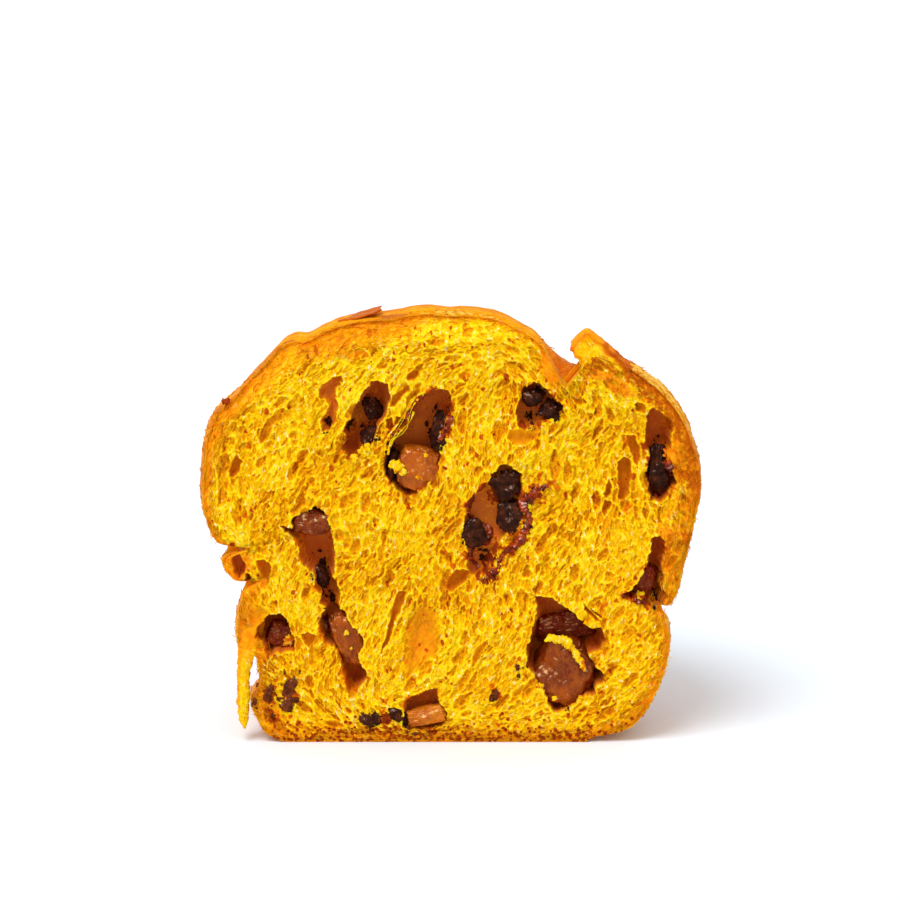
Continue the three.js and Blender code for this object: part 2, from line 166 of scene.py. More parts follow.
def crust_reach(side):
    """Distance from the core to the crust against the angle above the horizontal, down one side of the loaf."""
    points = [(-math.pi / 2, 1.3 * CORE_HEIGHT)]
    for half_width, height in [(FOOT_RADIUS, -4)] + side:
        radius = math.hypot(half_width, CUT_OFFSET)
        points.append((math.atan2(height - CORE_HEIGHT, radius), math.hypot(radius, height - CORE_HEIGHT)))
    points.append((math.pi / 2, CROWN_HEIGHT - CORE_HEIGHT))
    return curve_through(points)


left_reach = crust_reach(LEFT_SIDE)
right_reach = crust_reach(RIGHT_SIDE)


def reach_along(dx, dy, dz):
    """Distance from the core to the crust in a direction: the two side profiles blend round the back by the
    share of the way from left to right, three crossed waves swell the back by up to 0.9%, and the flat base stops
    what would pass below it."""
    across = np.hypot(dx, dy)
    rise = np.arctan2(dz, across)
    share = (1 + dx / np.maximum(across, 1e-9)) / 2
    k = 2 * math.pi / WAVE_LENGTH
    waves = np.sin(k * (dx + 0.4 * dz) + 0.7) + np.sin(k * (dy - 0.5 * dx) + 1.47) + np.sin(k * (dz + 0.3 * dy) + 2.59)
    uneven = 1 + WAVE_HEIGHT * waves * ease(dy, 0.1, 0.5)
    reach = (left_reach(rise) * (1 - share) + right_reach(rise) * share) * uneven
    return np.where(dz < -1e-9, np.minimum(reach, CORE_HEIGHT / np.maximum(-dz, 1e-9)), reach)


def groove_depth(x, y):
    """How far the opened score sinks the dome: a bell across the rounded edge of the pillow that it left, deepest
    on the right, plus the sag of the skin behind the cut."""
    left, right, back, corner = -45, 39.5, 45, 14
    dx = np.abs(x - (left + right) / 2) - (right - left) / 2 + corner
    dy = np.abs(y) - back + corner
    edge = np.hypot(np.maximum(dx, 0), np.maximum(dy, 0)) + np.minimum(np.maximum(dx, dy), 0) - corner
    on_right = ease(x, 18, 34) * (1 - ease(y, 40, 58))
    deep = (1.6 + 2.4 * ease(x, -36, -10)) * (1 - on_right) + 10 * on_right + 5 * on_right * (1 - ease(y, 1, 9))
    width = np.where(edge < 0, 5 * (1 + 0.9 * on_right), 3)
    sag = 5 * ease(x, 12, 36) * (1 - ease(x, 42, 60)) * ease(y, 0, 16) * (1 - ease(y, 40, 60))
    sag = sag + 6.4 * ease(x, 24, 39) * (1 - ease(x, 44, 50)) * ease(y, 2, 12) * (1 - ease(y, 70, 86))
    return deep * np.exp(-((edge / width) ** 2)) + sag


def crust_point(turn, back):
    """The crust's point on a ray from the core: turn goes round in the knife's plane from +x over the top, and
    back tilts it away from the viewer. Wrinkles, the crease round the foot and the pinched fold on the left are
    pressed in along the ray, each as a bell across its line. Then the groove sinks, and the tear at the lower left
    moves in."""
    dx, dy, dz = np.cos(back) * np.cos(turn), np.sin(back), np.cos(back) * np.sin(turn)
    reach = reach_along(dx, dy, dz)
    x, y, z = reach * dx, reach * dy + CUT_OFFSET, reach * dz + CORE_HEIGHT
    rise = 0.2 * np.clip(y, 0, 26)
    crease = z - (46.4 - 0.058 * x - rise)
    off_base = ease(z, 0.5, 5)
    dent = (5.6 - 2.6 * ease(y, 24, 50)) * np.exp(-((crease / 1.15) ** 2)) + 0.9 * np.exp(-((crease / 6) ** 2))
    pinch = 4.2 * np.exp(-(((z - 62.2 + rise) / 1.3) ** 2)) * ease(-x, 40, 60) * (1 - ease(y, 30, 50))
    folds = 0.42 * patches(x, y, z, 9, 3) + 0.22 * patches(x, y, 0.5 * z, 3.4, 4) + 0.09 * patches(x, y, z, 1.4, 5)
    scale = 1 + off_base * (folds - dent - pinch) / reach
    x, y, z = x * scale, (y - CUT_OFFSET) * scale + CUT_OFFSET, (z - CORE_HEIGHT) * scale + CORE_HEIGHT
    z = z - np.where(z > CORE_HEIGHT + 20, groove_depth(x, y), 0)
    torn = ease(z, 10, 20) * (1 - ease(z, 27, 32)) * ease(-x, 30, 55)
    torn = torn * (1 + 0.3 * ease(y, 1, 12)) * (1 - ease(y, 26, 54))
    z = z - 1.4 * ease(z, 100, 128) * ease(y, 1, 26)
    return x + 5.6 * torn, y, np.maximum(z, 0)


def front_tilt(turn, depth):
    """The tilt of the ray that meets the crust at that depth behind the knife's plane, found by repetition."""
    back = np.zeros_like(turn)
    for _ in range(9):
        reach = reach_along(np.cos(back) * np.cos(turn), np.sin(back), np.cos(back) * np.sin(turn))
        back = np.arcsin((depth - CUT_OFFSET) / reach)
    return back


def edge_depth(turn):
    """How far behind the knife's plane the crumb ends: the torn edge leans back over the top and the upper left."""
    degrees = np.degrees(turn) % 360
    top = ease(degrees, 62, 86) * (1 - ease(degrees, 132, 165))
    return 0.5 + 9 * top + 1.5 * ease(degrees, 10, 30) * (1 - ease(degrees, 40, 47))


EDGE_STEPS = 7200
edge_turn = np.linspace(-math.pi, math.pi, EDGE_STEPS + 1)
edge_x, edge_y, edge_z = crust_point(edge_turn, front_tilt(edge_turn, edge_depth(edge_turn)))


def outline(turn):
    """The edge of the cut at a turn: x, depth and z, read off the dense table of the edge."""
    return [np.interp(turn, edge_turn, values) for values in (edge_x, edge_y, edge_z)]


ROUND_STEPS = 450
round_window = np.hanning(2 * ROUND_STEPS + 1)
edge_reach = np.hypot(edge_x, edge_z - CORE_HEIGHT)[:-1]
round_reach = np.concatenate([edge_reach[-ROUND_STEPS:], edge_reach, edge_reach[:ROUND_STEPS]])
round_reach = np.convolve(round_reach, round_window / round_window.sum(), "valid")


def rounded(turn):
    """The cut's reach from the core at a turn with its notches smoothed away over 22 degrees on each side."""
    return np.interp(turn, edge_turn[:-1], round_reach)


def in_frame(points):
    """Millimetres from the loaf's axis and the knife's plane, as metres in the frame."""
    return points / 1000 + np.array([MIDDLE_X, KNIFE_Y, 0])


def make_piece(name, points, faces, attributes, material, *nodes):
    """A mesh object of points in millimetres and of four- and three-sided faces given as index arrays, with a
    number at each point for each named attribute. It rides on the loaf and stands for the named solids."""
    mesh = bpy.data.meshes.new(name)
    counts = np.concatenate([np.full(len(f), f.shape[1], np.int32) for f in faces])
    loops = np.concatenate([f.ravel() for f in faces]).astype(np.int32)
    mesh.vertices.add(len(points))
    mesh.vertices.foreach_set("co", in_frame(points).astype(np.float32).ravel())
    mesh.loops.add(len(loops))
    mesh.loops.foreach_set("vertex_index", loops)
    mesh.polygons.add(len(counts))
    mesh.polygons.foreach_set("loop_start", np.concatenate([[0], np.cumsum(counts)[:-1]]).astype(np.int32))
    mesh.polygons.foreach_set("use_smooth", np.ones(len(counts), bool))
    mesh.update(calc_edges=True)
    for label, values in attributes.items():
        layer = mesh.attributes.new(label, "FLOAT", "POINT")
        layer.data.foreach_set("value", np.asarray(values, np.float32).ravel())
    mesh.materials.append(material)
    piece = bpy.data.objects.new(name, mesh)
    bpy.context.scene.collection.objects.link(piece)
    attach(piece, "root")
    if nodes:
        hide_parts(*nodes)
    return piece


def grid_faces(rows, columns, wrap=False):
    """Four-sided faces of a grid of points stored row by row; wrap joins the last column to the first."""
    index = np.arange(rows * columns).reshape(rows, columns)
    right = np.roll(index, -1, 1) if wrap else index[:, 1:]
    left = index if wrap else index[:, :-1]
    return np.stack([left[:-1], left[1:], right[1:], right[:-1]], -1).reshape(-1, 4)


# ---- Relief of the cut crumb ----------------------------------------------------------------------------------
# A long-risen egg dough: a yellow web of thin walls round bubbles that stand upright in the middle and lie along
# the crust near it. The map holds, every 0.16 mm, how deep the torn crumb lies behind the knife's plane.
PITCH = 0.16
map_x = np.arange(-84, 84, PITCH)
map_z = np.arange(-4, 142, PITCH)
MX, MZ = np.meshgrid(map_x.astype(np.float32), map_z.astype(np.float32))
map_turn = np.arctan2(MZ - CORE_HEIGHT, MX)
map_edge = outline(map_turn)
map_edge_reach = np.hypot(map_edge[0], map_edge[2] - CORE_HEIGHT)
map_share = np.hypot(MX, MZ - CORE_HEIGHT) / map_edge_reach
MIDDLE_LEAN = math.radians(20)
along_edge = ease(np.hypot(MX, MZ - CORE_HEIGHT) / rounded(map_turn), 0.62, 0.97)
edge_right, edge_up = np.sin(map_turn), -np.cos(map_turn)
same_way = np.sign(edge_right * math.sin(MIDDLE_LEAN) + edge_up * math.cos(MIDDLE_LEAN))
lean_x = (1 - along_edge) * math.sin(MIDDLE_LEAN) + along_edge * edge_right * same_way
lean_z = (1 - along_edge) * math.cos(MIDDLE_LEAN) + along_edge * edge_up * same_way
map_lean = np.arctan2(lean_x, lean_z) + 0.35 * patches(MX, 0, MZ, 14, 11)


def read_map(values, x, z):
    """The map's values at places between its points, blended from the four round each place."""
    i = np.clip((x - map_x[0]) / PITCH, 0, len(map_x) - 1.001)
    k = np.clip((z - map_z[0]) / PITCH, 0, len(map_z) - 1.001)
    i0, k0 = i.astype(int), k.astype(int)
    a, b = i - i0, k - k0
    low = values[k0, i0] * (1 - a) + values[k0, i0 + 1] * a
    high = values[k0 + 1, i0] * (1 - a) + values[k0 + 1, i0 + 1] * a
    return low * (1 - b) + high * b


def window(x, z, reach):
    """The part of the map within reach of a place: its slices, and x and z measured from the place."""
    i0, i1 = np.searchsorted(map_x, (x - reach, x + reach))
    k0, k1 = np.searchsorted(map_z, (z - reach, z + reach))
    return (slice(k0, k1), slice(i0, i1)), MX[k0:k1, i0:i1] - x, MZ[k0:k1, i0:i1] - z


warp_x = 0.5 * patches(MX, 0, MZ, 2.4, 12) + 0.22 * patches(MX, 0, MZ, 0.8, 13)
warp_z = 0.5 * patches(MX, 0, MZ, 2.4, 14) + 0.22 * patches(MX, 0, MZ, 0.8, 15)

fray_x = 0.6 * patches(MX, 0, MZ, 1.1, 16) + 0.4 * patches(MX, 0, MZ, 0.45, 17)
fray_z = 0.6 * patches(MX, 0, MZ, 1.1, 18) + 0.4 * patches(MX, 0, MZ, 0.45, 19)


def tipped(dx, dz, wide, long, tip):
    """Distance from the middle of an ellipse tipped to the right by an angle, in shares of its half-widths."""
    c, s = math.cos(tip), math.sin(tip)
    return np.hypot((dx * c - dz * s) / wide, (dx * s + dz * c) / long)


def scattered(draw, number, most):
    """Places spread evenly over the cut: random turns, and roots of random shares of the way to its edge."""
    turn, share = draw.uniform(-math.pi, math.pi, number), np.sqrt(draw.uniform(0, most, number))
    edge = outline(turn)
    return share * edge[0], CORE_HEIGHT + share * (edge[2] - CORE_HEIGHT)


def foam(spacing, across, along, seed):
    """Touching bubbles: one seed in each square of that spacing, and the stretched distance from every point to
    its nearest and second nearest seed. Their difference is 0 on a wall. Also a random number for each bubble."""
    dice = np.random.default_rng(seed)
    sx, sz = np.meshgrid(np.arange(-82, 82, spacing), np.arange(-2, 140, spacing))
    sx = (sx + dice.uniform(-0.5, 0.5, sx.shape) * spacing).ravel()
    sz = (sz + dice.uniform(-0.5, 0.5, sz.shape) * spacing).ravel()
    inside = read_map(map_share, sx, sz) < 1.2
    sx, sz = sx[inside], sz[inside]
    leans = read_map(map_lean, sx, sz)
    widths = across * dice.uniform(0.7, 1.4, len(sx))
    lengths = along * dice.uniform(0.7, 1.4, len(sx))
    lots = dice.uniform(0, 1, len(sx)).astype(np.float32)
    nearest = np.full(MX.shape, 9, np.float32)
    second = nearest.copy()
    lot = np.zeros(MX.shape, np.float32)
    for x, z, lean, wide, long, drawn in zip(sx, sz, leans, widths, lengths, lots):
        spot, dx, dz = window(x, z, 2.3 * max(wide, long))
        dx, dz = dx + warp_x[spot], dz + warp_z[spot]
        distance = tipped(dx, dz, wide, long, lean)
        old = nearest[spot]
        second[spot] = np.minimum(second[spot], np.maximum(old, distance))
        lot[spot] = np.where(distance < old, drawn, lot[spot])
        nearest[spot] = np.minimum(old, distance)
    return second - nearest, lot


def ball_depth(spots, ragged, seed):
    """Depth of round-bottomed bubbles, the deepest where they overlap: depth * sqrt(1 - r^2) inside each stretched
    and tipped circle, whose rim is ragged by a share of its size. Also how near each point is to a rim."""
    depth = np.zeros(MX.shape, np.float32)
    rim = np.zeros(MX.shape, np.float32)
    jag = ragged * (0.6 * patches(MX, 0, MZ, 2.6, seed) + 0.5 * patches(MX, 0, MZ, 1.0, seed + 1))
    for x, z, wide, long, deep, tip in spots:
        spot, dx, dz = window(x, z, 1.6 * max(wide, long) + 1)
        dx, dz = dx + warp_x[spot], dz + warp_z[spot]
        r = tipped(dx, dz, wide, long, math.radians(tip)) + jag[spot] / math.sqrt(wide * long)
        hollow = deep * np.sqrt(np.clip(1 - r**2, 0, 1)) ** 0.8
        band = 0.45 / math.sqrt(wide * long)
        rim[spot] = np.maximum(rim[spot], np.exp(-(((r - 1 - band) / band) ** 2)))
        depth[spot] = np.maximum(depth[spot], hollow)
    return depth, rim


def traced(outline_points, deep, wall, jag):
    """Depth inside a closed outline: a quarter ellipse that falls from the rim to the full depth over the wall's
    reach. The rim is jagged by small random shifts. Also returns the distance inside the rim, negative outside."""
    points = np.array(outline_points, float)
    low, high = points.min(0) - 3, points.max(0) + 3
    spot = (slice(*np.searchsorted(map_z, (low[1], high[1]))), slice(*np.searchsorted(map_x, (low[0], high[0]))))
    px = MX[spot] + 0.45 * warp_x[spot] + jag * fray_x[spot]
    pz = MZ[spot] + 0.45 * warp_z[spot] + jag * fray_z[spot]
    gap = np.full(px.shape, 99.0)
    inside = np.zeros(px.shape, bool)
    for (ax, az), (bx, bz) in zip(points, np.roll(points, -1, 0)):
        share = ((px - ax) * (bx - ax) + (pz - az) * (bz - az)) / ((bx - ax) ** 2 + (bz - az) ** 2)
        share = np.clip(share, 0, 1)
        gap = np.minimum(gap, np.hypot(px - ax - share * (bx - ax), pz - az - share * (bz - az)))
        crosses = (az > pz) != (bz > pz)
        inside ^= crosses & (px < (bx - ax) * (pz - az) / np.where(bz == az, 1, bz - az) + ax)
    gap = np.where(inside, gap, -gap)
    fall = 1 - np.clip(gap / wall, 0, 1)
    return spot, deep * np.sqrt(np.clip(1 - fall**2, 0, 1)), gap


# Big bubbles that the knife opened: depth, the reach of their rounded walls, and the outline in x and z.
BIG_BUBBLES = {
    "upper_left_narrow": (3.4, 2.2, [(-33.3, 117.4), (-36.1, 116.8), (-39.8, 114), (-40.7, 112.7), (-40.4, 110.2),
        (-38.6, 110.2), (-37.3, 108.6), (-37.7, 106.7), (-39.2, 104.8), (-39.9, 102.3), (-39.6, 100.1),
        (-37.1, 100.1), (-35.8, 102), (-35.2, 104.8), (-34.6, 108), (-35.2, 110.8), (-34.8, 113.3), (-33, 116.2)]),
    "upper_left": (11, 3.6, [(-24.4, 115.8), (-21.3, 115.5), (-19.1, 114.6), (-18.8, 111.8), (-18.5, 109.6),
        (-19.1, 106.7), (-20.4, 104.2), (-22.3, 101.1), (-23.2, 98.5), (-24.7, 95.4), (-27.2, 95), (-27.5, 93.2),
        (-29.4, 91.9), (-30.7, 91.3), (-31.9, 92.2), (-34, 94.4), (-32.5, 96.6), (-31.8, 98.5), (-33.1, 100.1),
        (-32.4, 102.3), (-30.9, 103.6), (-30.3, 106.4), (-28.4, 109.2), (-27.5, 111.1), (-25.9, 112.7),
        (-24.7, 114.3)]),
    "upper_middle": (12, 3.6, [(-6.2, 112.4), (-4.3, 112.7), (-3.1, 113.3), (-0.6, 112.7), (0.3, 110.8),
        (0.3, 108.3), (0.9, 106.4), (-0.6, 103.9), (-1.9, 101.1), (-3.1, 98.5), (-3.4, 94.7), (-2.8, 91.6),
        (-4, 88.4), (-5.3, 85.9), (-6.8, 83.3), (-9.3, 81.7), (-12.1, 79.5), (-13.7, 79.2), (-16.1, 81.1),
        (-18.6, 84.3), (-20.1, 86.8), (-20.4, 89.7), (-20.1, 92.2), (-18.6, 94.7), (-18.2, 97.9), (-16.4, 98.5),
        (-14.2, 100.1), (-13, 102), (-12, 105.5), (-11.4, 107.7), (-9.9, 109.9), (-7.7, 111.1)]),
    "upper_right": (8, 3, [(22.8, 113.6), (24.7, 114.6), (25.6, 115.2), (27.4, 114.9), (29.6, 113.3),
        (31.2, 111.4), (32.7, 109.6), (34.3, 108), (34.9, 106.4), (33.7, 104.5), (31.2, 103.9), (28.1, 102),
        (25.7, 101.1), (23.2, 101.1), (21.6, 102), (20.7, 104.2), (20.1, 106.1), (21.3, 108.3), (21.9, 110.8),
        (22.5, 112.7)]),
    "heart": (6, 3, [(15.5, 89), (19.2, 89.4), (21.7, 86.5), (22.6, 83.3), (22.3, 81.1), (21.4, 78.9), (22, 76),
        (22.1, 72.8), (20.5, 70), (18, 68), (15.9, 65.5), (14.3, 62.3), (12.8, 58.1), (11.5, 55.2), (8.7, 53.6),
        (6.2, 54.3), (5, 57.2), (5.6, 60.7), (5, 63.9), (4, 66.4), (4, 70), (5, 73.8), (5.3, 76.6), (6.8, 79.2),
        (8.7, 81.1), (11.5, 83.3), (13, 86.2)]),
    "right_edge": (10, 3, [(62.4, 107), (64.8, 106.4), (67, 104.5), (68.6, 103.3), (69.2, 100.4), (68.3, 97.3),
        (68.7, 94.7), (66.2, 92.2), (67.5, 89.4), (70, 85.2), (70.7, 83.3), (68.2, 81.4), (67, 78.9),
        (65.2, 77.6), (62.7, 77.9), (61.4, 80.5), (62, 83), (60.7, 85.2), (61.3, 88.4), (61.9, 91.6), (60.6, 95),
        (60.3, 98.5), (60.6, 102), (60.8, 104.5)]),
    "right_waist": (11, 3, [(63.1, 66.1), (65.3, 66.4), (66.9, 64.2), (67.2, 61.6), (66.3, 58.4), (66.7, 54.3),
        (66.4, 49.5), (68, 46.9), (66.2, 44), (63.1, 44.6), (59.3, 47.2), (56.2, 46.2), (54, 47.5), (56.8, 49.5),
        (59.2, 52.7), (60.8, 55.9), (61.7, 59.1), (62.6, 62.3)]),
    "left_channel": (11, 3, [(-53.1, 70), (-51.6, 69.6), (-48.8, 68.7), (-46.6, 67.4), (-42, 66.8), (-37, 67.7),
        (-36.1, 65.5), (-36.1, 62.3), (-35.8, 59.1), (-35.5, 56.8), (-36.8, 53.6), (-34.9, 51.1), (-34.3, 47.8),
        (-34.7, 44), (-32.8, 42.4), (-31.9, 39.8), (-30.6, 37.2), (-28.1, 35.3), (-26.9, 31.7), (-28.8, 28.5),
        (-28.8, 25.9), (-26, 23), (-26.7, 19.4), (-29.5, 16.8), (-31.7, 16.5), (-32.9, 19.4), (-33.8, 23),
        (-34.4, 28.5), (-36, 30.7), (-38.8, 32), (-40, 34.9), (-40.9, 38.2), (-40.3, 41.4), (-39, 43),
        (-40.3, 45.3), (-40.3, 47.8), (-41.2, 48.8), (-42.4, 50.4), (-42.1, 54.3), (-43.3, 55.2), (-45.8, 57.5),
        (-46.4, 60.7), (-47, 63.9), (-47.3, 65.2), (-49.1, 66.4), (-51.3, 68)]),
    "left_fruit": (10, 2.4, [(-49.1, 71.9), (-46.6, 73.5), (-44.1, 74.1), (-42.2, 75.7), (-39.4, 74.4),
        (-37.9, 71.2), (-37, 68.7), (-37.3, 67.1), (-42, 66.1), (-46.6, 66.8), (-48.8, 68)]),
    "left_arch": (13, 3.2, [(-60, 37.2), (-56.9, 40.8), (-53.4, 41.7), (-51.2, 40.1), (-49.7, 36.9), (-48.8, 33),
        (-48.8, 29.4), (-51.7, 29.1), (-54.8, 28.8), (-56.7, 26.9), (-57.9, 29.4), (-58.8, 32.4), (-61.3, 34)]),
    "foot": (8, 2.6, [(-13.8, 13.9), (-10, 15.2), (-6.3, 17.1), (-4.1, 17.4), (-3.8, 14.5), (-2.8, 11.9),
        (-1.3, 10), (-1.3, 6.7), (-3.1, 4.7), (-7.9, 3.8), (-13.2, 3.8), (-15.1, 5.1), (-14.5, 9)]),
    "lower_right": (16, 4, [(26.8, 47.2), (30.9, 46.9), (33.1, 45.6), (34.7, 44.3), (36.9, 43), (39.7, 40.8),
        (41.9, 38.5), (44.1, 36.9), (46.9, 37.5), (48.2, 35.3), (48.5, 32.4), (47.3, 29.8), (45.1, 29.1),
        (43.5, 28.5), (44.2, 26.5), (46.1, 24.3), (48.9, 21.3), (47.7, 18.7), (45.2, 17.8), (45.8, 15.8),
        (43, 14.8), (40.2, 14.8), (39.3, 12.2), (35.8, 10), (32.4, 9.6), (31.1, 11.9), (30.4, 14.8), (29.2, 17.1),
        (27.3, 18.7), (26.3, 21.7), (24.1, 24.3), (24.4, 27.8), (24.1, 30.1), (25.3, 33.3), (26, 36.6),
        (27.2, 39.8), (27.2, 43.7)]),
    "left_fold": (6, 1.6, [(-68.2, 59.1), (-65.7, 61.3), (-64.5, 59.1), (-63.6, 56.5), (-64.5, 53.9),
        (-66.4, 52.7), (-67.6, 55.6)]),
    "left_fold_foot": (5, 1, [(-63.6, 54.9), (-62.3, 54.6), (-62.4, 51.7), (-63.9, 51.7)]),
}
# Smooth hollows of ochre crumb, and wide soft dips, in the same order.
POCKETS = {
    "web": (4, 1.4, [(-16.7, 104.5), (-14.8, 104.2), (-13, 103.3), (-13.3, 101.4), (-14.8, 100.1), (-16.7, 101.1),
        (-17, 102.9)]),
    "web_upper": (3, 1.6, [(-17.9, 110.5), (-16.3, 111.8), (-12.6, 114.6), (-12.3, 112.7), (-15.4, 109.9),
        (-17, 107.7), (-18.5, 107.4)]),
    "web_left": (3.5, 1.2, [(-19.8, 103.6), (-17.9, 104.2), (-17.3, 101.4), (-18.2, 100.1), (-19.8, 101.1)]),
    "top": (3, 1.8, [(-13.9, 116.8), (-12, 118.7), (-9.5, 119.3), (-9.2, 117.1), (-11.1, 116.2), (-12.9, 115.8)]),
    "under_upper_right": (2, 2, [(18.5, 100.4), (22.3, 100.4), (27.8, 99.5), (27.2, 97.3), (24.1, 96),
        (20.1, 95.7), (17.6, 97.9)]),
    "heart_tail": (4, 2.4, [(3.7, 55.9), (6.2, 54.6), (5.3, 52.3), (3.1, 50.7), (0.9, 48.8), (-1.2, 49.5),
        (-0.6, 52.7), (1.6, 55.9)]),
    "right_one": (3.6, 1.8, [(54.7, 98.8), (57.2, 98.5), (58.8, 95), (58.8, 91.6), (58.2, 89), (56.7, 90.9),
        (55.7, 94.1), (54.7, 96.3)]),
    "right_two": (4.4, 2, [(52, 90), (53.9, 91.6), (56, 90.6), (56.4, 87.8), (56.1, 83), (55.8, 80.1), (54, 77.6),
        (52.4, 78.2), (52.1, 83)]),
    "right_three": (3, 1.4, [(48.7, 83), (49.6, 85.2), (50.2, 82.1), (49.6, 79.5), (48.4, 78.9), (47.5, 80.1)]),
    "right_four": (3, 1.6, [(47.8, 78.2), (50, 77.6), (49.7, 75.7), (47.8, 72.8), (47.2, 75.7)]),
    "right_five": (2, 1.6, [(58, 109.2), (60.5, 108.3), (60.5, 105.8), (57.7, 106.1), (57.1, 108)]),
    "left_one": (4, 2, [(-60.4, 58.8), (-58.2, 59.1), (-56.1, 57.5), (-55.8, 54.3), (-56.8, 51.7), (-58.6, 53),
        (-59.5, 55.9)]),
    "left_two": (3, 2, [(-46.6, 34.9), (-44.4, 35.6), (-41.9, 34.3), (-42.9, 31.4), (-44.4, 30.7), (-46.3, 33.3)]),
    "left_oval": (3.4, 1.8, [(-66.2, 92.2), (-64.4, 90.3), (-65.1, 87.1), (-67.3, 84.9), (-68.5, 86.8),
        (-67.8, 90)]),
    "long": (3, 1.8, [(-16.2, 48.8), (-13.4, 48.8), (-14.4, 45.6), (-15.6, 42.4), (-17.2, 39.1), (-18.1, 35.9),
        (-19.4, 31.7), (-21.6, 28.8), (-20.6, 33.3), (-19.1, 38.2), (-18.1, 43), (-17.2, 46.2)]),
    "slanted": (2, 1.6, [(12.2, 33.3), (10.6, 30.1), (9.4, 26.9), (7.2, 24.3), (6.9, 26.9), (8.1, 30.1),
        (10.3, 32.4)]),
    "behind_web": (4, 1.6, [(41.8, 44.9), (43.7, 43.7), (46.2, 41.7), (47.8, 40.1), (46.3, 39.1), (43.7, 41.1),
        (42.2, 43)]),
}
SOFT_DIPS = {
    "middle_funnel": (2.6, 6, [(-11.9, 44.6), (-7.8, 46.9), (-3.1, 42.4), (-2.2, 36.6), (-1.9, 30.1),
        (-3.1, 26.9), (-7.8, 25.2), (-10, 22), (-14.1, 19.7), (-15.4, 23), (-15.7, 28.5), (-15, 33.3),
        (-14.4, 38.2), (-13.4, 41.4)]),
    "arch_slope": (2.6, 5, [(-65.6, 42.4), (-59.9, 45.3), (-55.6, 42.4), (-58.8, 35.9), (-58.8, 31.7),
        (-64.2, 28.5), (-65.7, 33.3)]),
}

coarse_wall, coarse_lot = foam(2.0, 0.66, 2.5, 21)
fine_wall, fine_lot = foam(0.9, 0.36, 1.0, 22)
fibre = patches(MX + 0.35 * MZ, 0, 0.33 * MZ, 0.42, 23)

dice = np.random.default_rng(31)
CELL_COUNT = 330
cell_x, cell_z = scattered(dice, CELL_COUNT, 0.93)
cell_lean = np.degrees(read_map(map_lean, cell_x, cell_z)) + dice.normal(0, 12, CELL_COUNT)
cell_wide = dice.uniform(0.7, 1.5, CELL_COUNT)
cell_long = cell_wide * dice.uniform(1.3, 3.4, CELL_COUNT)
cell_deep = cell_wide * dice.uniform(0.35, 1.0, CELL_COUNT)
cell_depth, cell_rim = ball_depth(list(zip(cell_x, cell_z, cell_wide, cell_long, cell_deep, cell_lean)), 0.4, 41)

cavity_depth, pocket_depth, dip_depth, traced_rim = np.zeros((4, *MX.shape), np.float32)
tables = ((BIG_BUBBLES, cavity_depth, 0.55), (POCKETS, pocket_depth, 0.35), (SOFT_DIPS, dip_depth, 0.3))
for table, depth, jag in tables:
    for deep, wall, points in table.values():
        spot, hollow, gap = traced(points, deep, wall, jag)
        if table is SOFT_DIPS:
            hollow = deep * ease(gap, -1, wall)
        else:
            traced_rim[spot] = np.maximum(traced_rim[spot], np.exp(-(((gap + 0.3) / 0.32) ** 2)))
        depth[spot] = np.maximum(depth[spot], hollow)

edge_gap = (1 - map_share) * map_edge_reach
degrees = np.degrees(map_turn) % 360
# How wide the tough crumb beside the crust is, in mm, against degrees round the cut from +x over the top.
BAND = [
    (0, 6), (15, 5.5), (25, 4), (35, 3), (45, 2.5), (55, 1.4), (65, 1), (80, 1), (94, 1.6), (101, 5), (110, 6.5),
    (125, 6.5), (140, 5), (160, 4.5), (170, 3), (180, 2), (195, 2.5), (205, 4), (230, 4), (312, 4.2), (325, 2.8),
    (335, 3), (345, 5), (360, 6),
]


def band_at(degrees):
    """The tough crumb's width at degrees round the cut."""
    return np.interp(degrees, *np.array(BAND, float).T)


band = band_at(degrees)
edge_streak = patches(60 * np.cos(map_turn), 6 * edge_gap, 60 * np.sin(map_turn), 2.4, 71)
edge_streak = 0.6 * edge_streak + 0.4 * patches(60 * np.cos(map_turn), 5 * edge_gap, 60 * np.sin(map_turn), 1.0, 72)

coarse_open = ease(coarse_wall, 0.05, 0.6)
fine_open = ease(fine_wall, 0.04, 0.5)
swell = 0.5 + 0.5 * patches(MX, 0, MZ, 11, 51)
hollow = np.maximum(np.maximum(cell_depth, pocket_depth), np.maximum(cavity_depth, dip_depth))
smooth_floor = np.maximum(ease(pocket_depth, 0.2, 1.4), ease(cavity_depth, 0.4, 2.4))
smooth_floor = np.maximum(smooth_floor, 0.8 * ease(dip_depth, 0.3, 1.6))
web = coarse_open * (0.42 + 0.9 * coarse_lot**2) * (0.7 + 0.6 * swell) + 0.3 * fine_open * (1 - 0.3 * coarse_open)
web = web + 0.6 * swell + 0.12 * fibre
near_edge = 1 - ease(edge_gap, 0.4 * band, 1.1 * band)
web = web * (1 - 0.6 * near_edge) + near_edge * (0.4 + 0.5 * edge_streak)
map_depth = (web * (1 - 0.85 * smooth_floor) + hollow).astype(np.float32)
lifted = np.maximum(0.6 * cell_rim, traced_rim) * (1 - ease(hollow, 0.1, 0.6))
map_depth = np.maximum(map_depth * (1 - 0.75 * lifted), 0)

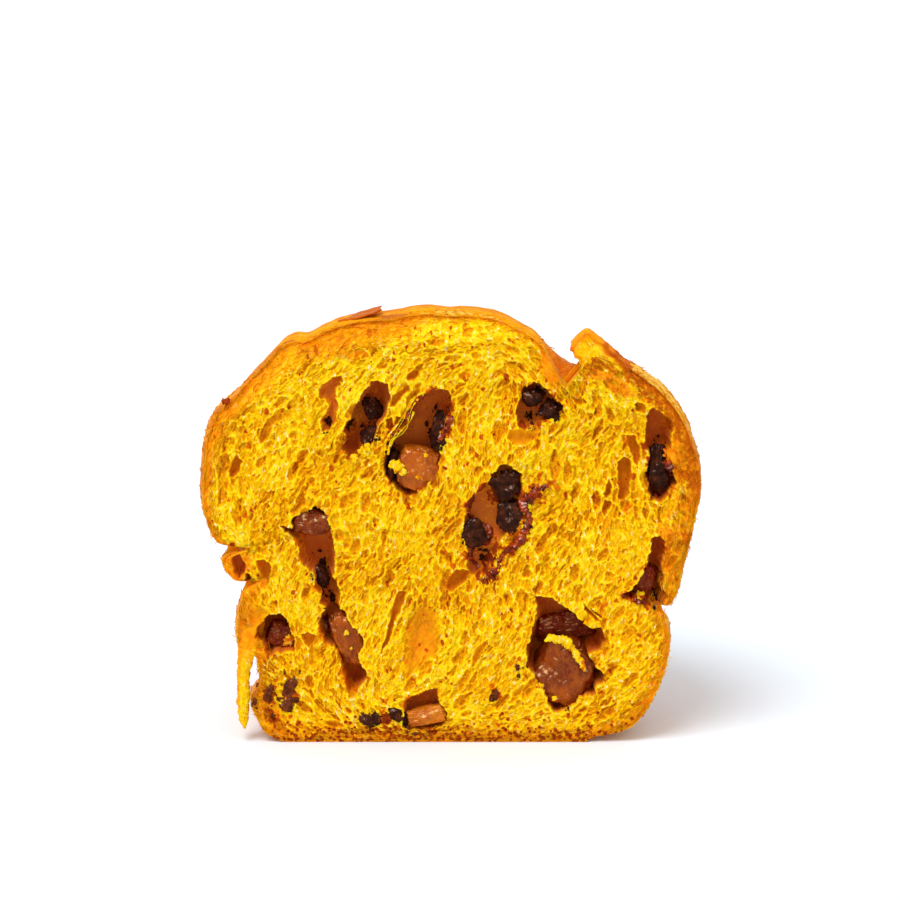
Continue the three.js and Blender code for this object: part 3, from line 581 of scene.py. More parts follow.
# ---- Colours along the cut ------------------------------------------------------------------------------------
# Pale rims, yellow web and ochre pits, painted darker in the hollows and on steep walls as painted shade; brown
# # walls in the big bubbles, partly syrup and partly painted shade in their depth; orange towards the crust.
# Melted chocolate and syrup stain the crumb round the pieces.
# Middle x and z, half-widths across and along, tip in degrees, and how strongly.
MELTED = [
    (15, 79, 5, 6, 20, 0.75), (20.5, 74, 4, 9, 24, 0.7), (27, 79.6, 5, 1.8, 60, 0.75), (20, 64, 2.6, 7, 24, 0.65),
    (12, 57, 4.6, 3, 80, 0.8), (8, 64, 3, 7, 24, 0.7), (31.4, 83.4, 1.9, 1.7, 0, 0.42), (28, 86, 1.5, 3, 10, 0.4),
    (67, 84, 3.4, 6, 0, 0.8), (62.8, 90, 2.6, 6, 0, 0.7), (-18.6, 100.4, 1.2, 5, 26, 0.5),
    (-0.9, 101, 1.4, 6, 10, 0.7), (-29.8, 99.6, 1.1, 3.4, 24, 0.5), (-38.8, 103.6, 2, 2.4, 0, 0.6),
    (61.4, 45.6, 4.4, 1.8, 70, 0.75), (-38.6, 38, 1.1, 4.6, -10, 0.6), (-56.6, 15.4, 3.4, 5, 0, 0.6),
    (-50, 14.8, 4, 3, 0, 0.42), (-20, 6.6, 7, 2.2, 84, 0.7), (-6, 4.4, 7, 1.6, 84, 0.6),
    (-11, 19.6, 4.4, 1.1, 76, 0.5), (14.6, 15.4, 2.6, 1.6, 80, 0.6), (-56, 8, 5, 2.4, 60, 0.55),
    (-56, 32, 3, 2, 50, 0.6), (48, 44, 1, 3, 30, 0.3), (54.6, 96, 1, 3, 20, 0.3), (55.4, 76, 1.4, 2.6, 0, 0.35),
    (-46, 51.4, 1.4, 1, 0, 0.35), (47, 16, 2, 1.2, 0, 0.5),
]
map_stain = np.zeros(MX.shape, np.float32)
blotch = 0.4 * patches(MX, 0, MZ, 2.6, 61) + 0.35 * patches(MX, 0, MZ, 1.1, 62) + 0.35 * patches(MX, 0, MZ, 0.5, 63)
for x, z, wide, long, tip, strong in MELTED:
    spot, dx, dz = window(x, z, 2 * max(wide, long))
    r = tipped(dx, dz, wide, long, math.radians(tip))
    map_stain[spot] = np.maximum(map_stain[spot], strong * ease(1.0 - r + 1.1 * blotch[spot], 0, 0.8))

toasted = ease(degrees, -1, 12) * (1 - ease(degrees, 50, 60)) + ease(degrees, 350, 359)
toasted = toasted * ease(1.1 - edge_gap / 6.5 + 1.2 * blotch, 0, 0.9)
map_stain = np.maximum(map_stain, 0.42 * toasted * (map_share < 1.1))
# How strongly syrup has dyed the rims of the big bubbles.
FRINGES = {
    "upper_left": 0.55, "upper_middle": 0.6, "upper_right": 0.6, "heart": 0.7, "right_edge": 0.7,
    "right_waist": 0.6, "left_channel": 0.4, "foot": 0.5,
}
for name, strong in FRINGES.items():
    spot, _, gap = traced(BIG_BUBBLES[name][2], 1, 1, 0.8)
    here = ease(patches(MX[spot], 0, MZ[spot], 4.5, 64) + 0.5 * patches(MX[spot], 0, MZ[spot], 1.6, 65), -0.15, 0.5)
    fringe = np.exp(-(((gap - 0.2) / 0.9) ** 2)) * here + 0.3 * np.exp(-((gap / 2.6) ** 2))
    map_stain[spot] = np.maximum(map_stain[spot], strong * ease(fringe * (0.8 + 1.0 * blotch[spot]), 0.25, 1.0))

# Browned pores of the base, and specks of fruit and chocolate all over.
BASE_COUNT = 460
SPECK_COUNT = 900
base_x, base_z = dice.uniform(-62, 62, BASE_COUNT), dice.gamma(2, 1.3, BASE_COUNT)
for x, z, size in zip(base_x, base_z, dice.uniform(0.25, 0.75, BASE_COUNT)):
    spot, dx, dz = window(x, z, 3 * size)
    map_stain[spot] = np.maximum(map_stain[spot], 0.66 * ease(1.2 - (dx**2 + dz**2) / size**2, 0, 0.8))

speck_x, speck_z = scattered(dice, SPECK_COUNT, 0.98)
speck_size = 0.16 + dice.gamma(1.5, 0.13, SPECK_COUNT).clip(0, 1.1)
for x, z, size, strong in zip(speck_x, speck_z, speck_size, dice.uniform(0.15, 0.62, SPECK_COUNT)):
    spot, dx, dz = window(x, z, 3 * size)
    near = ((dx + 0.5 * fray_x[spot]) ** 2 + (0.75 * (dz + 0.5 * fray_z[spot])) ** 2) / size**2
    map_stain[spot] = np.maximum(map_stain[spot], strong * ease(1.3 - near, 0, 0.8))

map_skin = near_edge * np.clip(0.85 + 0.7 * edge_streak, 0, 1) + (1 - ease(edge_gap, 0.1, 0.7))
stray = ease(patches(MX, 0, MZ, 5, 77), 0.2, 0.9) * (1 - ease(edge_gap, band, band + 5))
map_skin = np.clip(map_skin + 0.35 * stray, 0, 1)
# Where the baked, orange skin shows on the cut, with the same six numbers.
SKIN_SPOTS = [
    (-66, 56, 4.6, 7.5, 10, 1.0), (-62, 50.5, 5, 3, 0, 0.95), (-63, 38, 4.6, 10, -8, 0.8),
    (-60.4, 27.5, 4, 3.4, 0, 0.9), (-59, 13, 4.6, 9, -16, 0.95), (-55, 5.4, 8, 3.2, 80, 0.9),
    (70.5, 91, 5, 17, -4, 0.95), (67.5, 62, 4.4, 15, 2, 0.95), (66, 43, 6, 3.6, -30, 0.9),
    (-33, 130, 5.0, 13, 70, 0.9), (-29, 124, 2.6, 5, 70, 0.75), (68, 24, 3.4, 18, 6, 0.9),
    (50, 116, 3.2, 15, -60, 0.95), (-8.6, 31, 4, 8, 0, 0.5), (48, 66, 1.4, 9, 8, 0.4),
]
for x, z, wide, long, tip, strong in SKIN_SPOTS:
    spot, dx, dz = window(x, z, 1.7 * max(wide, long))
    r = tipped(dx, dz, wide, long, math.radians(tip))
    map_skin[spot] = np.maximum(map_skin[spot], strong * ease(1.0 - r + 0.7 * blotch[spot], 0, 0.5))
# Painted shade and highlight: the pit tone, which the yellow ramp turns darker and more orange, rises the deeper the
# crumb lies and the steeper it slopes, as painted shade; thin crests and lifted rims are paler, partly for their thin
# walls and partly as painted highlight.
crest = np.maximum(1 - ease(coarse_wall, 0.05, 0.32), 0.8 * (1 - ease(fine_wall, 0.05, 0.36))) * (1 - smooth_floor)
slope = np.hypot(*np.gradient(map_depth, PITCH))
pit_tone_and_shade = 0.20 * ease(map_depth, 0.2, 1.0) + 0.24 * ease(map_depth, 0.9, 2.6) + 0.2 * ease(hollow, 0.3, 1.2) + 0.27
pit_tone_and_shade = pit_tone_and_shade + 0.3 * ease(slope, 0.7, 2.2) - 0.3 * crest - 0.3 * lifted * (1 - ease(slope, 1, 2.5))
pit_tone_and_shade = pit_tone_and_shade - 0.07 * ease(np.abs(MZ - 74), 14, 44)
pit_tone_and_shade = np.clip(pit_tone_and_shade + 0.08 * fibre + 0.10 * patches(MX, 0, MZ, 6, 74), 0, 1)
# Browner deeper in the big bubbles: partly the syrup-stained skin of their walls, partly painted shade in their depth.
map_cavity = ease(cavity_depth, 0.8, 4) * (1 - 0.25 * patches(MX, 0, MZ, 4, 73))


def ramp(tree, value, stops):
    """A colour ramp node that reads a value socket; its stops are (place, red, green, blue) in linear light."""
    node = tree.nodes.new("ShaderNodeValToRGB")
    tree.links.new(value, node.inputs["Fac"])
    points = node.color_ramp.elements
    while len(points) < len(stops):
        points.new(0.5)
    for point, (place, *colour) in zip(points, stops):
        point.position = place
        point.color = (*colour, 1)
    return node.outputs["Color"]


def greys(tree, value, low, high, first=0.0, last=1.0):
    """A ramp of plain numbers: first up to the low place, last from the high place on."""
    return ramp(tree, value, [(low, first, first, first), (high, last, last, last)])


def read(tree, label):
    """The socket of a piece's own attribute."""
    node = tree.nodes.new("ShaderNodeAttribute")
    node.attribute_name = label
    return node.outputs["Fac"]


def speckle(tree, size, detail=3.0, rough=0.55, stretch=(1, 1, 1)):
    """A noise from 0 to 1 in the piece's own space, with grains of about that size in metres."""
    place = tree.nodes.new("ShaderNodeTexCoord").outputs["Object"]
    mapping = tree.nodes.new("ShaderNodeMapping")
    mapping.inputs["Scale"].default_value = stretch
    tree.links.new(place, mapping.inputs["Vector"])
    node = tree.nodes.new("ShaderNodeTexNoise")
    node.inputs["Scale"].default_value = 0.5 / size
    node.inputs["Detail"].default_value = detail
    node.inputs["Roughness"].default_value = rough
    tree.links.new(mapping.outputs["Vector"], node.inputs["Vector"])
    return node.outputs["Fac"]


def work(tree, kind, a, b):
    """One arithmetic step on two sockets or numbers, kept from 0 to 1."""
    node = tree.nodes.new("ShaderNodeMath")
    node.operation = kind
    node.use_clamp = True
    for socket, value in zip(node.inputs, (a, b)):
        if isinstance(value, (int, float)):
            socket.default_value = value
        else:
            tree.links.new(value, socket)
    return node.outputs["Value"]


def times(tree, a, b):
    """The product of two sockets or numbers."""
    return work(tree, "MULTIPLY", a, b)


def folded(tree, noise):
    """A noise folded at a half: 0.5 on thin winding lines, less between them."""
    node = tree.nodes.new("ShaderNodeMath")
    node.operation = "PINGPONG"
    node.inputs[1].default_value = 0.5
    tree.links.new(noise, node.inputs[0])
    return node.outputs["Value"]


def blend(tree, share, below, above, way="MIX"):
    """Colour above over colour below by a share."""
    node = tree.nodes.new("ShaderNodeMix")
    node.data_type = "RGBA"
    node.blend_type = way
    for label, value in ((0, share), (6, below), (7, above)):
        if isinstance(value, (int, float)):
            node.inputs[label].default_value = value
        elif isinstance(value, tuple):
            node.inputs[label].default_value = (*value, 1)
        else:
            tree.links.new(value, node.inputs[label])
    return node.outputs[2]


def new_finish(name, roughness, subsurface=0.0, radius=(1.0, 0.4, 0.1), scale=0.002):
    """A material with its shader's plain numbers set; returns it with its node tree and shader."""
    material = bpy.data.materials.new(name)
    material.use_nodes = True
    shader = material.node_tree.nodes["Principled BSDF"]
    shader.inputs["Roughness"].default_value = roughness
    shader.inputs["Subsurface Weight"].default_value = subsurface
    shader.inputs["Subsurface Radius"].default_value = radius
    shader.inputs["Subsurface Scale"].default_value = scale
    return material, material.node_tree, shader


def roughen(tree, shader, height, distance, strength=0.6):
    """A bump of that height in metres from a value socket."""
    bump = tree.nodes.new("ShaderNodeBump")
    bump.inputs["Strength"].default_value = strength
    bump.inputs["Distance"].default_value = distance
    tree.links.new(height, bump.inputs["Height"])
    tree.links.new(bump.outputs["Normal"], shader.inputs["Normal"])


def crumb_marks(pit, skin=0, stain=0, cavity=0):
    """The four numbers that colour the crumb, each given or 0 at every point that pit is given for."""
    return {"pit": pit, "cavity": cavity + 0 * pit, "skin": skin + 0 * pit, "stain": stain + 0 * pit}


crumb_finish, tree, shader = new_finish("yellow_crumb", 0.6, 0.35, (1.0, 0.5, 0.04), 0.0008)
shader.inputs["Specular IOR Level"].default_value = 0.015
grain = speckle(tree, 0.0009, 4, 0.6)
# Painted shade: the ramp darkens the crumb towards ochre where the pit tone is high, in hollows and on steep walls.
tone = work(tree, "ADD", times(tree, read(tree, "pit"), 0.9), times(tree, grain, 0.14))
yellow = ramp(tree, tone, [
    (0.0, 1.0, 0.78, 0.12), (0.07, 1.0, 0.71, 0.012), (0.16, 0.98, 0.63, 0.002), (0.36, 0.93, 0.51, 0.001),
    (0.62, 0.80, 0.32, 0.002), (1.0, 0.58, 0.145, 0.005),
])
thread = greys(tree, folded(tree, speckle(tree, 0.0011, 3, 0.6, (1.5, 1, 0.75))), 0.455, 0.495)
thread = times(tree, thread, greys(tree, read(tree, "pit"), 0.1, 0.5, 0.5, 0.12))
yellow = blend(tree, thread, yellow, (1.0, 0.76, 0.03))
glint = greys(tree, speckle(tree, 0.0006, 3, 0.6, (1.4, 1, 0.7)), 0.59, 0.68)
glint = times(tree, glint, greys(tree, read(tree, "pit"), 0.06, 0.36, 1, 0))
yellow = blend(tree, glint, yellow, (1.0, 0.85, 0.56))
drift = ramp(tree, speckle(tree, 0.016, 2), [(0.35, 1.0, 1.0, 1.0), (0.7, 1.0, 0.90, 0.72)])
yellow = blend(tree, 0.8, yellow, drift, "MULTIPLY")
brown = ramp(tree, speckle(tree, 0.006, 3), [(0.3, 0.72, 0.180, 0.024), (0.7, 0.50, 0.088, 0.010)])
orange = ramp(tree, speckle(tree, 0.0016, 5, 0.75), [
    (0.34, 1.0, 0.44, 0.006), (0.52, 1.0, 0.29, 0.005), (0.70, 0.66, 0.125, 0.004),
])
soaked = work(tree, "ADD", read(tree, "stain"), times(tree, speckle(tree, 0.0012, 3), 0.2))
syrup = ramp(tree, soaked, [
    (0.2, 0.92, 0.34, 0.003), (0.44, 0.72, 0.16, 0.004), (0.7, 0.38, 0.050, 0.005), (0.95, 0.15, 0.018, 0.005),
])
colour = blend(tree, read(tree, "skin"), yellow, orange)
# Partly painted shade: the big bubbles' brown deepens with their depth.
colour = blend(tree, read(tree, "cavity"), colour, brown)
colour = blend(tree, greys(tree, read(tree, "stain"), 0.08, 0.3), colour, syrup)
tree.links.new(colour, shader.inputs["Base Color"])
roughen(tree, shader, grain, 0.0003, 0.5)

# ---- Crumb face -----------------------------------------------------------------------------------------------
# The cut itself, torn rather than sliced: a grid of square rings, round in the middle and following the loaf's
# edge outside, pushed back by the map. It is four closed quarters, whose open backs meet deep inside the loaf.
CELLS = 600
WALL_BACK = 22
DEEP_INSIDE = np.array([0, 45, 60])


def rim_of(grid):
    """The values round the edge of a grid, once round from its first corner."""
    return np.concatenate([grid[0, :-1], grid[:-1, -1], grid[-1, :0:-1], grid[:0:-1, 0]])


steps = np.linspace(-1, 1, CELLS + 1)
S, T = np.meshgrid(steps, steps)
face_turn = np.arctan2(T, S)
face_share = np.maximum(np.abs(S), np.abs(T))
face_edge = outline(face_turn)
near = face_share**4
FX = face_share * ((1 - near) * rounded(face_turn) * np.cos(face_turn) + near * face_edge[0])
FZ = (1 - near) * rounded(face_turn) * np.sin(face_turn) + near * (face_edge[2] - CORE_HEIGHT)
FZ = CORE_HEIGHT + face_share * FZ
wander = 3.2 * (1 - face_share**3)
FX, FZ = FX + wander * patches(FX, 0, FZ, 13, 75), FZ + wander * patches(FX, 0, FZ, 13, 76)
face_gap = np.hypot(FX - face_edge[0], FZ - face_edge[2])
lean_back = face_edge[1] * (1 - ease(face_gap, 0, 1.4 + 0.6 * face_edge[1]))
FY = read_map(map_depth, FX, FZ) * ease(face_gap, 0, 0.7) + lean_back
face_marks = {
    "pit": read_map(pit_tone_and_shade, FX, FZ),
    "cavity": read_map(map_cavity, FX, FZ),
    "skin": read_map(map_skin, FX, FZ),
    "stain": read_map(map_stain, FX, FZ),
}
face_points = np.stack([FX, FY, FZ], -1)
half = CELLS // 2
for row, rows in (("lower", slice(0, half + 1)), ("upper", slice(half, CELLS + 1))):
    for side, columns in (("left", slice(0, half + 1)), ("right", slice(half, CELLS + 1))):
        quarter = face_points[rows, columns]
        size = quarter.shape[0]
        rim = rim_of(np.arange(size * size).reshape(size, size))
        inner = quarter.reshape(-1, 3)[rim] * np.array([0.99, 1, 0.99]) + np.array([0, WALL_BACK, 0.01 * CORE_HEIGHT])
        points = np.concatenate([quarter.reshape(-1, 3), inner, [DEEP_INSIDE]])
        wall = size * size + np.arange(len(rim))
        faces = [
            grid_faces(size, size)[:, ::-1],
            np.stack([rim, wall, np.roll(wall, -1), np.roll(rim, -1)], -1),
            np.stack([wall, np.full(len(rim), len(points) - 1), np.roll(wall, -1)], -1),
        ]
        marks = {}
        for label, values in face_marks.items():
            part = values[rows, columns].ravel()
            marks[label] = np.concatenate([part, part[rim], [0]])
        piece = make_piece(f"crumb_{row}_{side}", points, faces, marks, crumb_finish, "bread")

# ---- Crust ----------------------------------------------------------------------------------------------------
# The baked skin: thin, golden to brown, wrinkled, creased where the dome left the mould, flat underneath.
# Rows of rays run from the cut's edge round the back to one point. The crust is paler in its crease and its score.
ROWS = 150

border = rim_of(face_turn)[::4]
tilt = front_tilt(border, edge_depth(border))
backs = tilt + (math.pi / 2 - tilt) * np.linspace(0, 1, ROWS + 1)[:-1, None] ** 0.92
skin_x, skin_y, skin_z = crust_point(border, backs)
tuck = np.stack([skin_x[0] * 0.994, skin_y[0] + 9, CORE_HEIGHT + (skin_z[0] - CORE_HEIGHT) * 0.994], -1)
far_point = np.stack(crust_point(np.zeros(1), np.full(1, math.pi / 2)), -1)
skin_points = np.concatenate([tuck[None], np.stack([skin_x, skin_y, skin_z], -1)]).reshape(-1, 3)
count = len(border)
points = np.concatenate([skin_points, far_point, [DEEP_INSIDE]])
last = ROWS * count + np.arange(count)
first = np.arange(count)
faces = [
    grid_faces(ROWS + 1, count, wrap=True),
    np.stack([last, np.full(count, len(skin_points)), np.roll(last, -1)], -1),
    np.stack([np.roll(first, -1), np.full(count, len(skin_points) + 1), first], -1),
]
px, py, pz = points.T
bake = 0.5 + 0.26 * patches(px, py, pz, 24, 81) + 0.2 * patches(px, py, pz, 7, 82) + 0.12 * ease(py, 8, 40)
bake = bake + 0.25 * ease(pz, 96, 130) - 0.6 * ease(px, -18, 0) * ease(pz, 96, 110) * (1 - ease(py, 20, 50))
bake = bake - 0.28 * np.exp(-(((pz - 46.4 + 0.058 * px) / 7) ** 2)) - 0.12 * (pz < 44)
score = np.exp(-((groove_depth(px, py) / 4 - 1.2) ** 2)) * (pz > 95)
bake = np.clip(bake - 0.3 * score + 0.2 * (pz < 1), 0, 1)

crust_finish, tree, shader = new_finish("baked_crust", 0.5, 0.1, (1.0, 0.4, 0.08), 0.0012)
shader.inputs["Specular IOR Level"].default_value = 0.03
streak = speckle(tree, 0.0035, 5, 0.62, (1, 1, 2.2))
wrinkle = speckle(tree, 0.0012, 4, 0.6, (1, 1, 1.8))
tone = work(tree, "ADD", times(tree, read(tree, "bake"), 0.7), times(tree, streak, 0.42))
tone = work(tree, "SUBTRACT", work(tree, "ADD", tone, times(tree, wrinkle, 0.5)), 0.24)
golden = ramp(tree, tone, [
    (0.08, 1.0, 0.66, 0.12), (0.3, 1.0, 0.50, 0.018), (0.54, 0.88, 0.29, 0.006), (0.78, 0.58, 0.125, 0.005),
    (1.0, 0.30, 0.050, 0.005),
])
freckle = ramp(tree, speckle(tree, 0.0007, 2), [(0.38, 1.0, 1.0, 1.0), (0.66, 0.72, 0.55, 0.42)])
tree.links.new(blend(tree, 0.55, golden, freckle, "MULTIPLY"), shader.inputs["Base Color"])
tree.links.new(greys(tree, streak, 0.3, 0.7, 0.38, 0.62), shader.inputs["Roughness"])
roughen(tree, shader, wrinkle, 0.0009, 0.8)
piece = make_piece("crust", points, faces, {"bake": bake}, crust_finish, "bread")

# ---- Candied fruit --------------------------------------------------------------------------------------------
# Cubes of fruit soaked in syrup: soft-cornered, wrinkled, clear amber to dark red, and sticky.
# Middle x, y and z, half-sizes across, deep and tall, lean in degrees, and how dark the syrup is.
FRUIT = {
    "fruit_upper_middle": ((-10, 5.4, 87.6), (6.6, 5, 6.6), 14, 0.3),
    "fruit_left_channel": ((-43, 5, 70.2), (6.2, 4.5, 3.9), 8, 0.6),
    "fruit_channel_foot": ((-31.8, 5.8, 33), (4.4, 4.6, 8.2), -22, 0.45),
    "fruit_left_arch": ((-53, 9.6, 33), (4.6, 4, 4), 18, 0.9),
    "fruit_foot": ((-7.6, 3.2, 8.2), (6.3, 3.4, 2.9), -14, 0.15),
    "fruit_lower_right": ((35.4, 8.6, 21.4), (9.6, 7, 10.2), 28, 0.56),
    "fruit_lower_right_back": ((37, 15.6, 34.6), (9.6, 4.4, 4.6), -8, 0.95),
    "fruit_right_waist": ((60.6, 8.6, 51), (3.6, 4, 5.4), 24, 0.85),
}
FRUIT_GRID = (80, 128)


def ball(rows, columns):
    """Directions to the points of a ball, row by row from its lower to its upper pole, and then the two poles."""
    up = np.linspace(-math.pi / 2, math.pi / 2, rows + 2)[1:-1, None]
    turn = np.linspace(0, 2 * math.pi, columns, endpoint=False)
    rings = np.stack([np.cos(up) * np.cos(turn), np.cos(up) * np.sin(turn), np.sin(up) + 0 * turn], -1)
    return np.concatenate([rings.reshape(-1, 3), [[0, 0, -1], [0, 0, 1]]])


def lump_faces(rows, columns):
    """Faces of a ball of such rows: the grid wrapped round, and a fan to each pole, stored after the rows."""
    first = np.arange(columns)
    last = (rows - 1) * columns + first
    return [
        grid_faces(rows, columns, wrap=True)[:, ::-1],
        np.stack([np.full(columns, rows * columns), np.roll(first, -1), first], -1),
        np.stack([last, np.roll(last, -1), np.full(columns, rows * columns + 1)], -1),
    ]


def placed(points, middle, halves, lean):
    """Points stretched to half-sizes, leaned about y by degrees, top to the right, and moved to a middle."""
    x, y, z = (points * np.array(halves)).T
    c, s = math.cos(math.radians(lean)), math.sin(math.radians(lean))
    return np.stack([x * c + z * s, y, z * c - x * s], -1) + np.array(middle)


def facing(points, faces, low, high):
    """How far each point's outward direction, the mean of its faces', turns up and forward toward the way halfway
    between the lamp and the camera, eased from low to high. The materials paint those places paler: a painted
    highlight."""
    toward = np.zeros((len(points), 3))
    for some in faces:
        a, b, c = points[some[:, 0]], points[some[:, 1]], points[some[:, 2]]
        normal = np.cross(b - a, c - a)
        for corner in some.T:
            for axis in range(3):
                toward[:, axis] += np.bincount(corner, normal[:, axis], len(points))
    toward /= np.maximum(np.linalg.norm(toward, axis=1, keepdims=True), 1e-12)
    return ease(toward @ np.array([-0.19, -0.78, 0.596]), low, high)


fruit_finish, tree, shader = new_finish("candied_fruit", 0.2, 0.4, (1.0, 0.2, 0.02), 0.003)
shader.inputs["Specular IOR Level"].default_value = 0.13
clouds = speckle(tree, 0.0045, 4, 0.6)
tone = work(tree, "ADD", times(tree, read(tree, "dark"), 0.62), times(tree, clouds, 0.42))
tone = work(tree, "ADD", tone, times(tree, speckle(tree, 0.0011, 4, 0.65), 0.14))
amber = ramp(tree, tone, [
    (0.12, 0.84, 0.30, 0.008), (0.36, 0.48, 0.098, 0.003), (0.58, 0.18, 0.022, 0.003), (0.95, 0.24, 0.012, 0.003),
])
sugar = greys(tree, speckle(tree, 0.0006, 3, 0.7), 0.62, 0.74)
rind = greys(tree, folded(tree, speckle(tree, 0.0021, 4, 0.62, (1.6, 1, 0.7))), 0.44, 0.5)
amber = blend(tree, times(tree, rind, 0.12), amber, (0.90, 0.32, 0.02))
# Painted highlight: pale amber flecks where the fruit faces halfway between the lamp and the camera.
fruit_painted_highlight = times(tree, read(tree, "glint"), greys(tree, speckle(tree, 0.0008, 3, 0.7), 0.46, 0.62))
amber = blend(tree, times(tree, fruit_painted_highlight, 0.75), amber, (1.0, 0.66, 0.30))
tree.links.new(blend(tree, times(tree, sugar, 0.1), amber, (0.95, 0.55, 0.12)), shader.inputs["Base Color"])
roughen(tree, shader, work(tree, "SUBTRACT", speckle(tree, 0.0012, 5, 0.65), times(tree, rind, 0.16)), 0.0008, 0.55)

for number, (name, (middle, halves, lean, dark)) in enumerate(FRUIT.items()):
    way = ball(*FRUIT_GRID)
    square = way / np.max(np.abs(way), 1, keepdims=True)
    form = 0.52 * square + 0.48 * way * 1.26
    x, y, z = form.T
    wrinkles = 0.13 * patches(x, y, z, 0.8, 100 + number) + 0.05 * patches(x, y, z, 0.35, 110 + number)
    wrinkles = wrinkles - 0.07 * (1 - np.abs(patches(x, y, z, 0.3, 120 + number))) ** 4
    wrinkles = wrinkles - 0.04 * (1 - np.abs(patches(1.6 * x, y, 0.7 * z, 0.16, 130 + number))) ** 4
    form = form * (0.94 + wrinkles)[:, None]
    points = placed(form, middle, halves, lean)
    shade = dark + 0.18 * patches(*points.T, 5, 140 + number) + 0.3 * ease(np.max(np.abs(form), 1), 1.0, 1.3) - 0.1
    faces = lump_faces(*FRUIT_GRID)
    marks = {"dark": shade, "glint": facing(points, faces, 0.90, 0.985)}
    piece = make_piece(name + "_flesh", points, faces, marks, fruit_finish, name)

# ---- Chocolate ------------------------------------------------------------------------------------------------
# Dark drops that half melted in the oven and set again rough and crumbly: balls cut flat by random planes.
# Middle x, y and z, half-sizes across, deep and tall, and lean in degrees.
CHOCOLATE = {
    "chocolate_upper_left_top": ((-23.6, 7, 105.6), (3.4, 2.8, 2.3), 60),
    "chocolate_upper_left_low": ((-24.6, 5, 96.6), (2.6, 2.8, 3.3), 30),
    "chocolate_upper_middle": ((-3.4, 5, 100), (2.6, 2.8, 5.2), 12),
    "chocolate_upper_middle_left": ((-17.6, 5, 88), (1.9, 2.6, 5.2), 12),
    "chocolate_upper_right_top": ((25.4, 4.6, 110), (2.8, 2.6, 2.6), 0),
    "chocolate_upper_right": ((31, 3.6, 105.6), (3, 2.6, 2.9), 20),
    "chocolate_heart_top": ((17.6, 2.2, 82.8), (4.3, 2.6, 4.1), 0),
    "chocolate_heart_middle": ((18.4, 2.4, 72.6), (3.6, 2.6, 4.8), 8),
    "chocolate_heart_low": ((7.7, 2.2, 67), (3.4, 2.6, 3.9), -8),
    "chocolate_right_edge": ((64.6, 5, 88.4), (3.4, 3.2, 6.4), 0),
    "chocolate_left_channel": ((-40.6, 7.4, 51.8), (3, 2.6, 3), 30),
    "chocolate_foot_left": ((-57, 2.4, 15.4), (2, 2.4, 4.2), 10),
    "chocolate_foot_left_upper": ((-49.8, 2, 17.8), (3.3, 2.2, 1.9), -70),
    "chocolate_foot_left_lower": ((-50.6, 2, 12.4), (2.8, 2.2, 1.9), 0),
    "chocolate_foot_middle": ((-24.6, 2, 7.4), (3.4, 2.6, 2.8), 0),
    "chocolate_foot_middle_right": ((-17, 2.2, 8.2), (3.2, 2.4, 2.6), 20),
}
DROP_GRID = (44, 64)

chocolate_finish, tree, shader = new_finish("dark_chocolate", 0.5)
shader.inputs["Specular IOR Level"].default_value = 0.07
crumbly = speckle(tree, 0.0012, 5, 0.7)
cocoa = ramp(tree, crumbly, [(0.36, 0.007, 0.0025, 0.002), (0.52, 0.022, 0.006, 0.003), (0.72, 0.11, 0.024, 0.008)])
syrupy = ramp(tree, crumbly, [(0.36, 0.08, 0.013, 0.005), (0.66, 0.30, 0.065, 0.014)])
cocoa = blend(tree, read(tree, "warm"), cocoa, syrupy)
# Painted highlight: pale brown flecks where the chocolate faces halfway between the lamp and the camera.
chocolate_painted_highlight = times(tree, read(tree, "glint"), greys(tree, speckle(tree, 0.0007, 2, 0.6), 0.52, 0.64))
tree.links.new(blend(tree, times(tree, chocolate_painted_highlight, 0.6), cocoa, (0.52, 0.34, 0.27)), shader.inputs["Base Color"])
tree.links.new(greys(tree, speckle(tree, 0.003, 2), 0.4, 0.6, 0.34, 0.72), shader.inputs["Roughness"])
roughen(tree, shader, crumbly, 0.0009, 0.8)

for number, (name, (middle, halves, lean)) in enumerate(CHOCOLATE.items()):
    way = ball(*DROP_GRID)
    x, y, z = way.T
    rough = 0.30 * patches(x, y, z, 0.8, 200 + number) + 0.16 * patches(x, y, z, 0.38, 220 + number)
    rough = rough + 0.12 * patches(x, y, z, 0.17, 240 + number)
    rough = rough - 0.16 * (1 - np.abs(patches(x, y, z, 0.5, 260 + number))) ** 5
    facet = np.random.default_rng(280 + number).normal(0, 1, (13, 3))
    facet = facet / np.linalg.norm(facet, axis=1, keepdims=True)
    broken = np.minimum(np.min(0.92 / np.maximum(way @ facet.T, 0.6), 1), 1.35)
    points = placed(way * (broken + 0.9 * rough)[:, None], middle, halves, lean)
    faces = lump_faces(*DROP_GRID)
    warm = np.full(len(points), 0.75 if middle[2] < 20 and middle[0] < -30 else 0.12)
    marks = {"warm": warm, "glint": facing(points, faces, 0.90, 0.98)}
    piece = make_piece(name + "_piece", points, faces, marks, chocolate_finish, name)

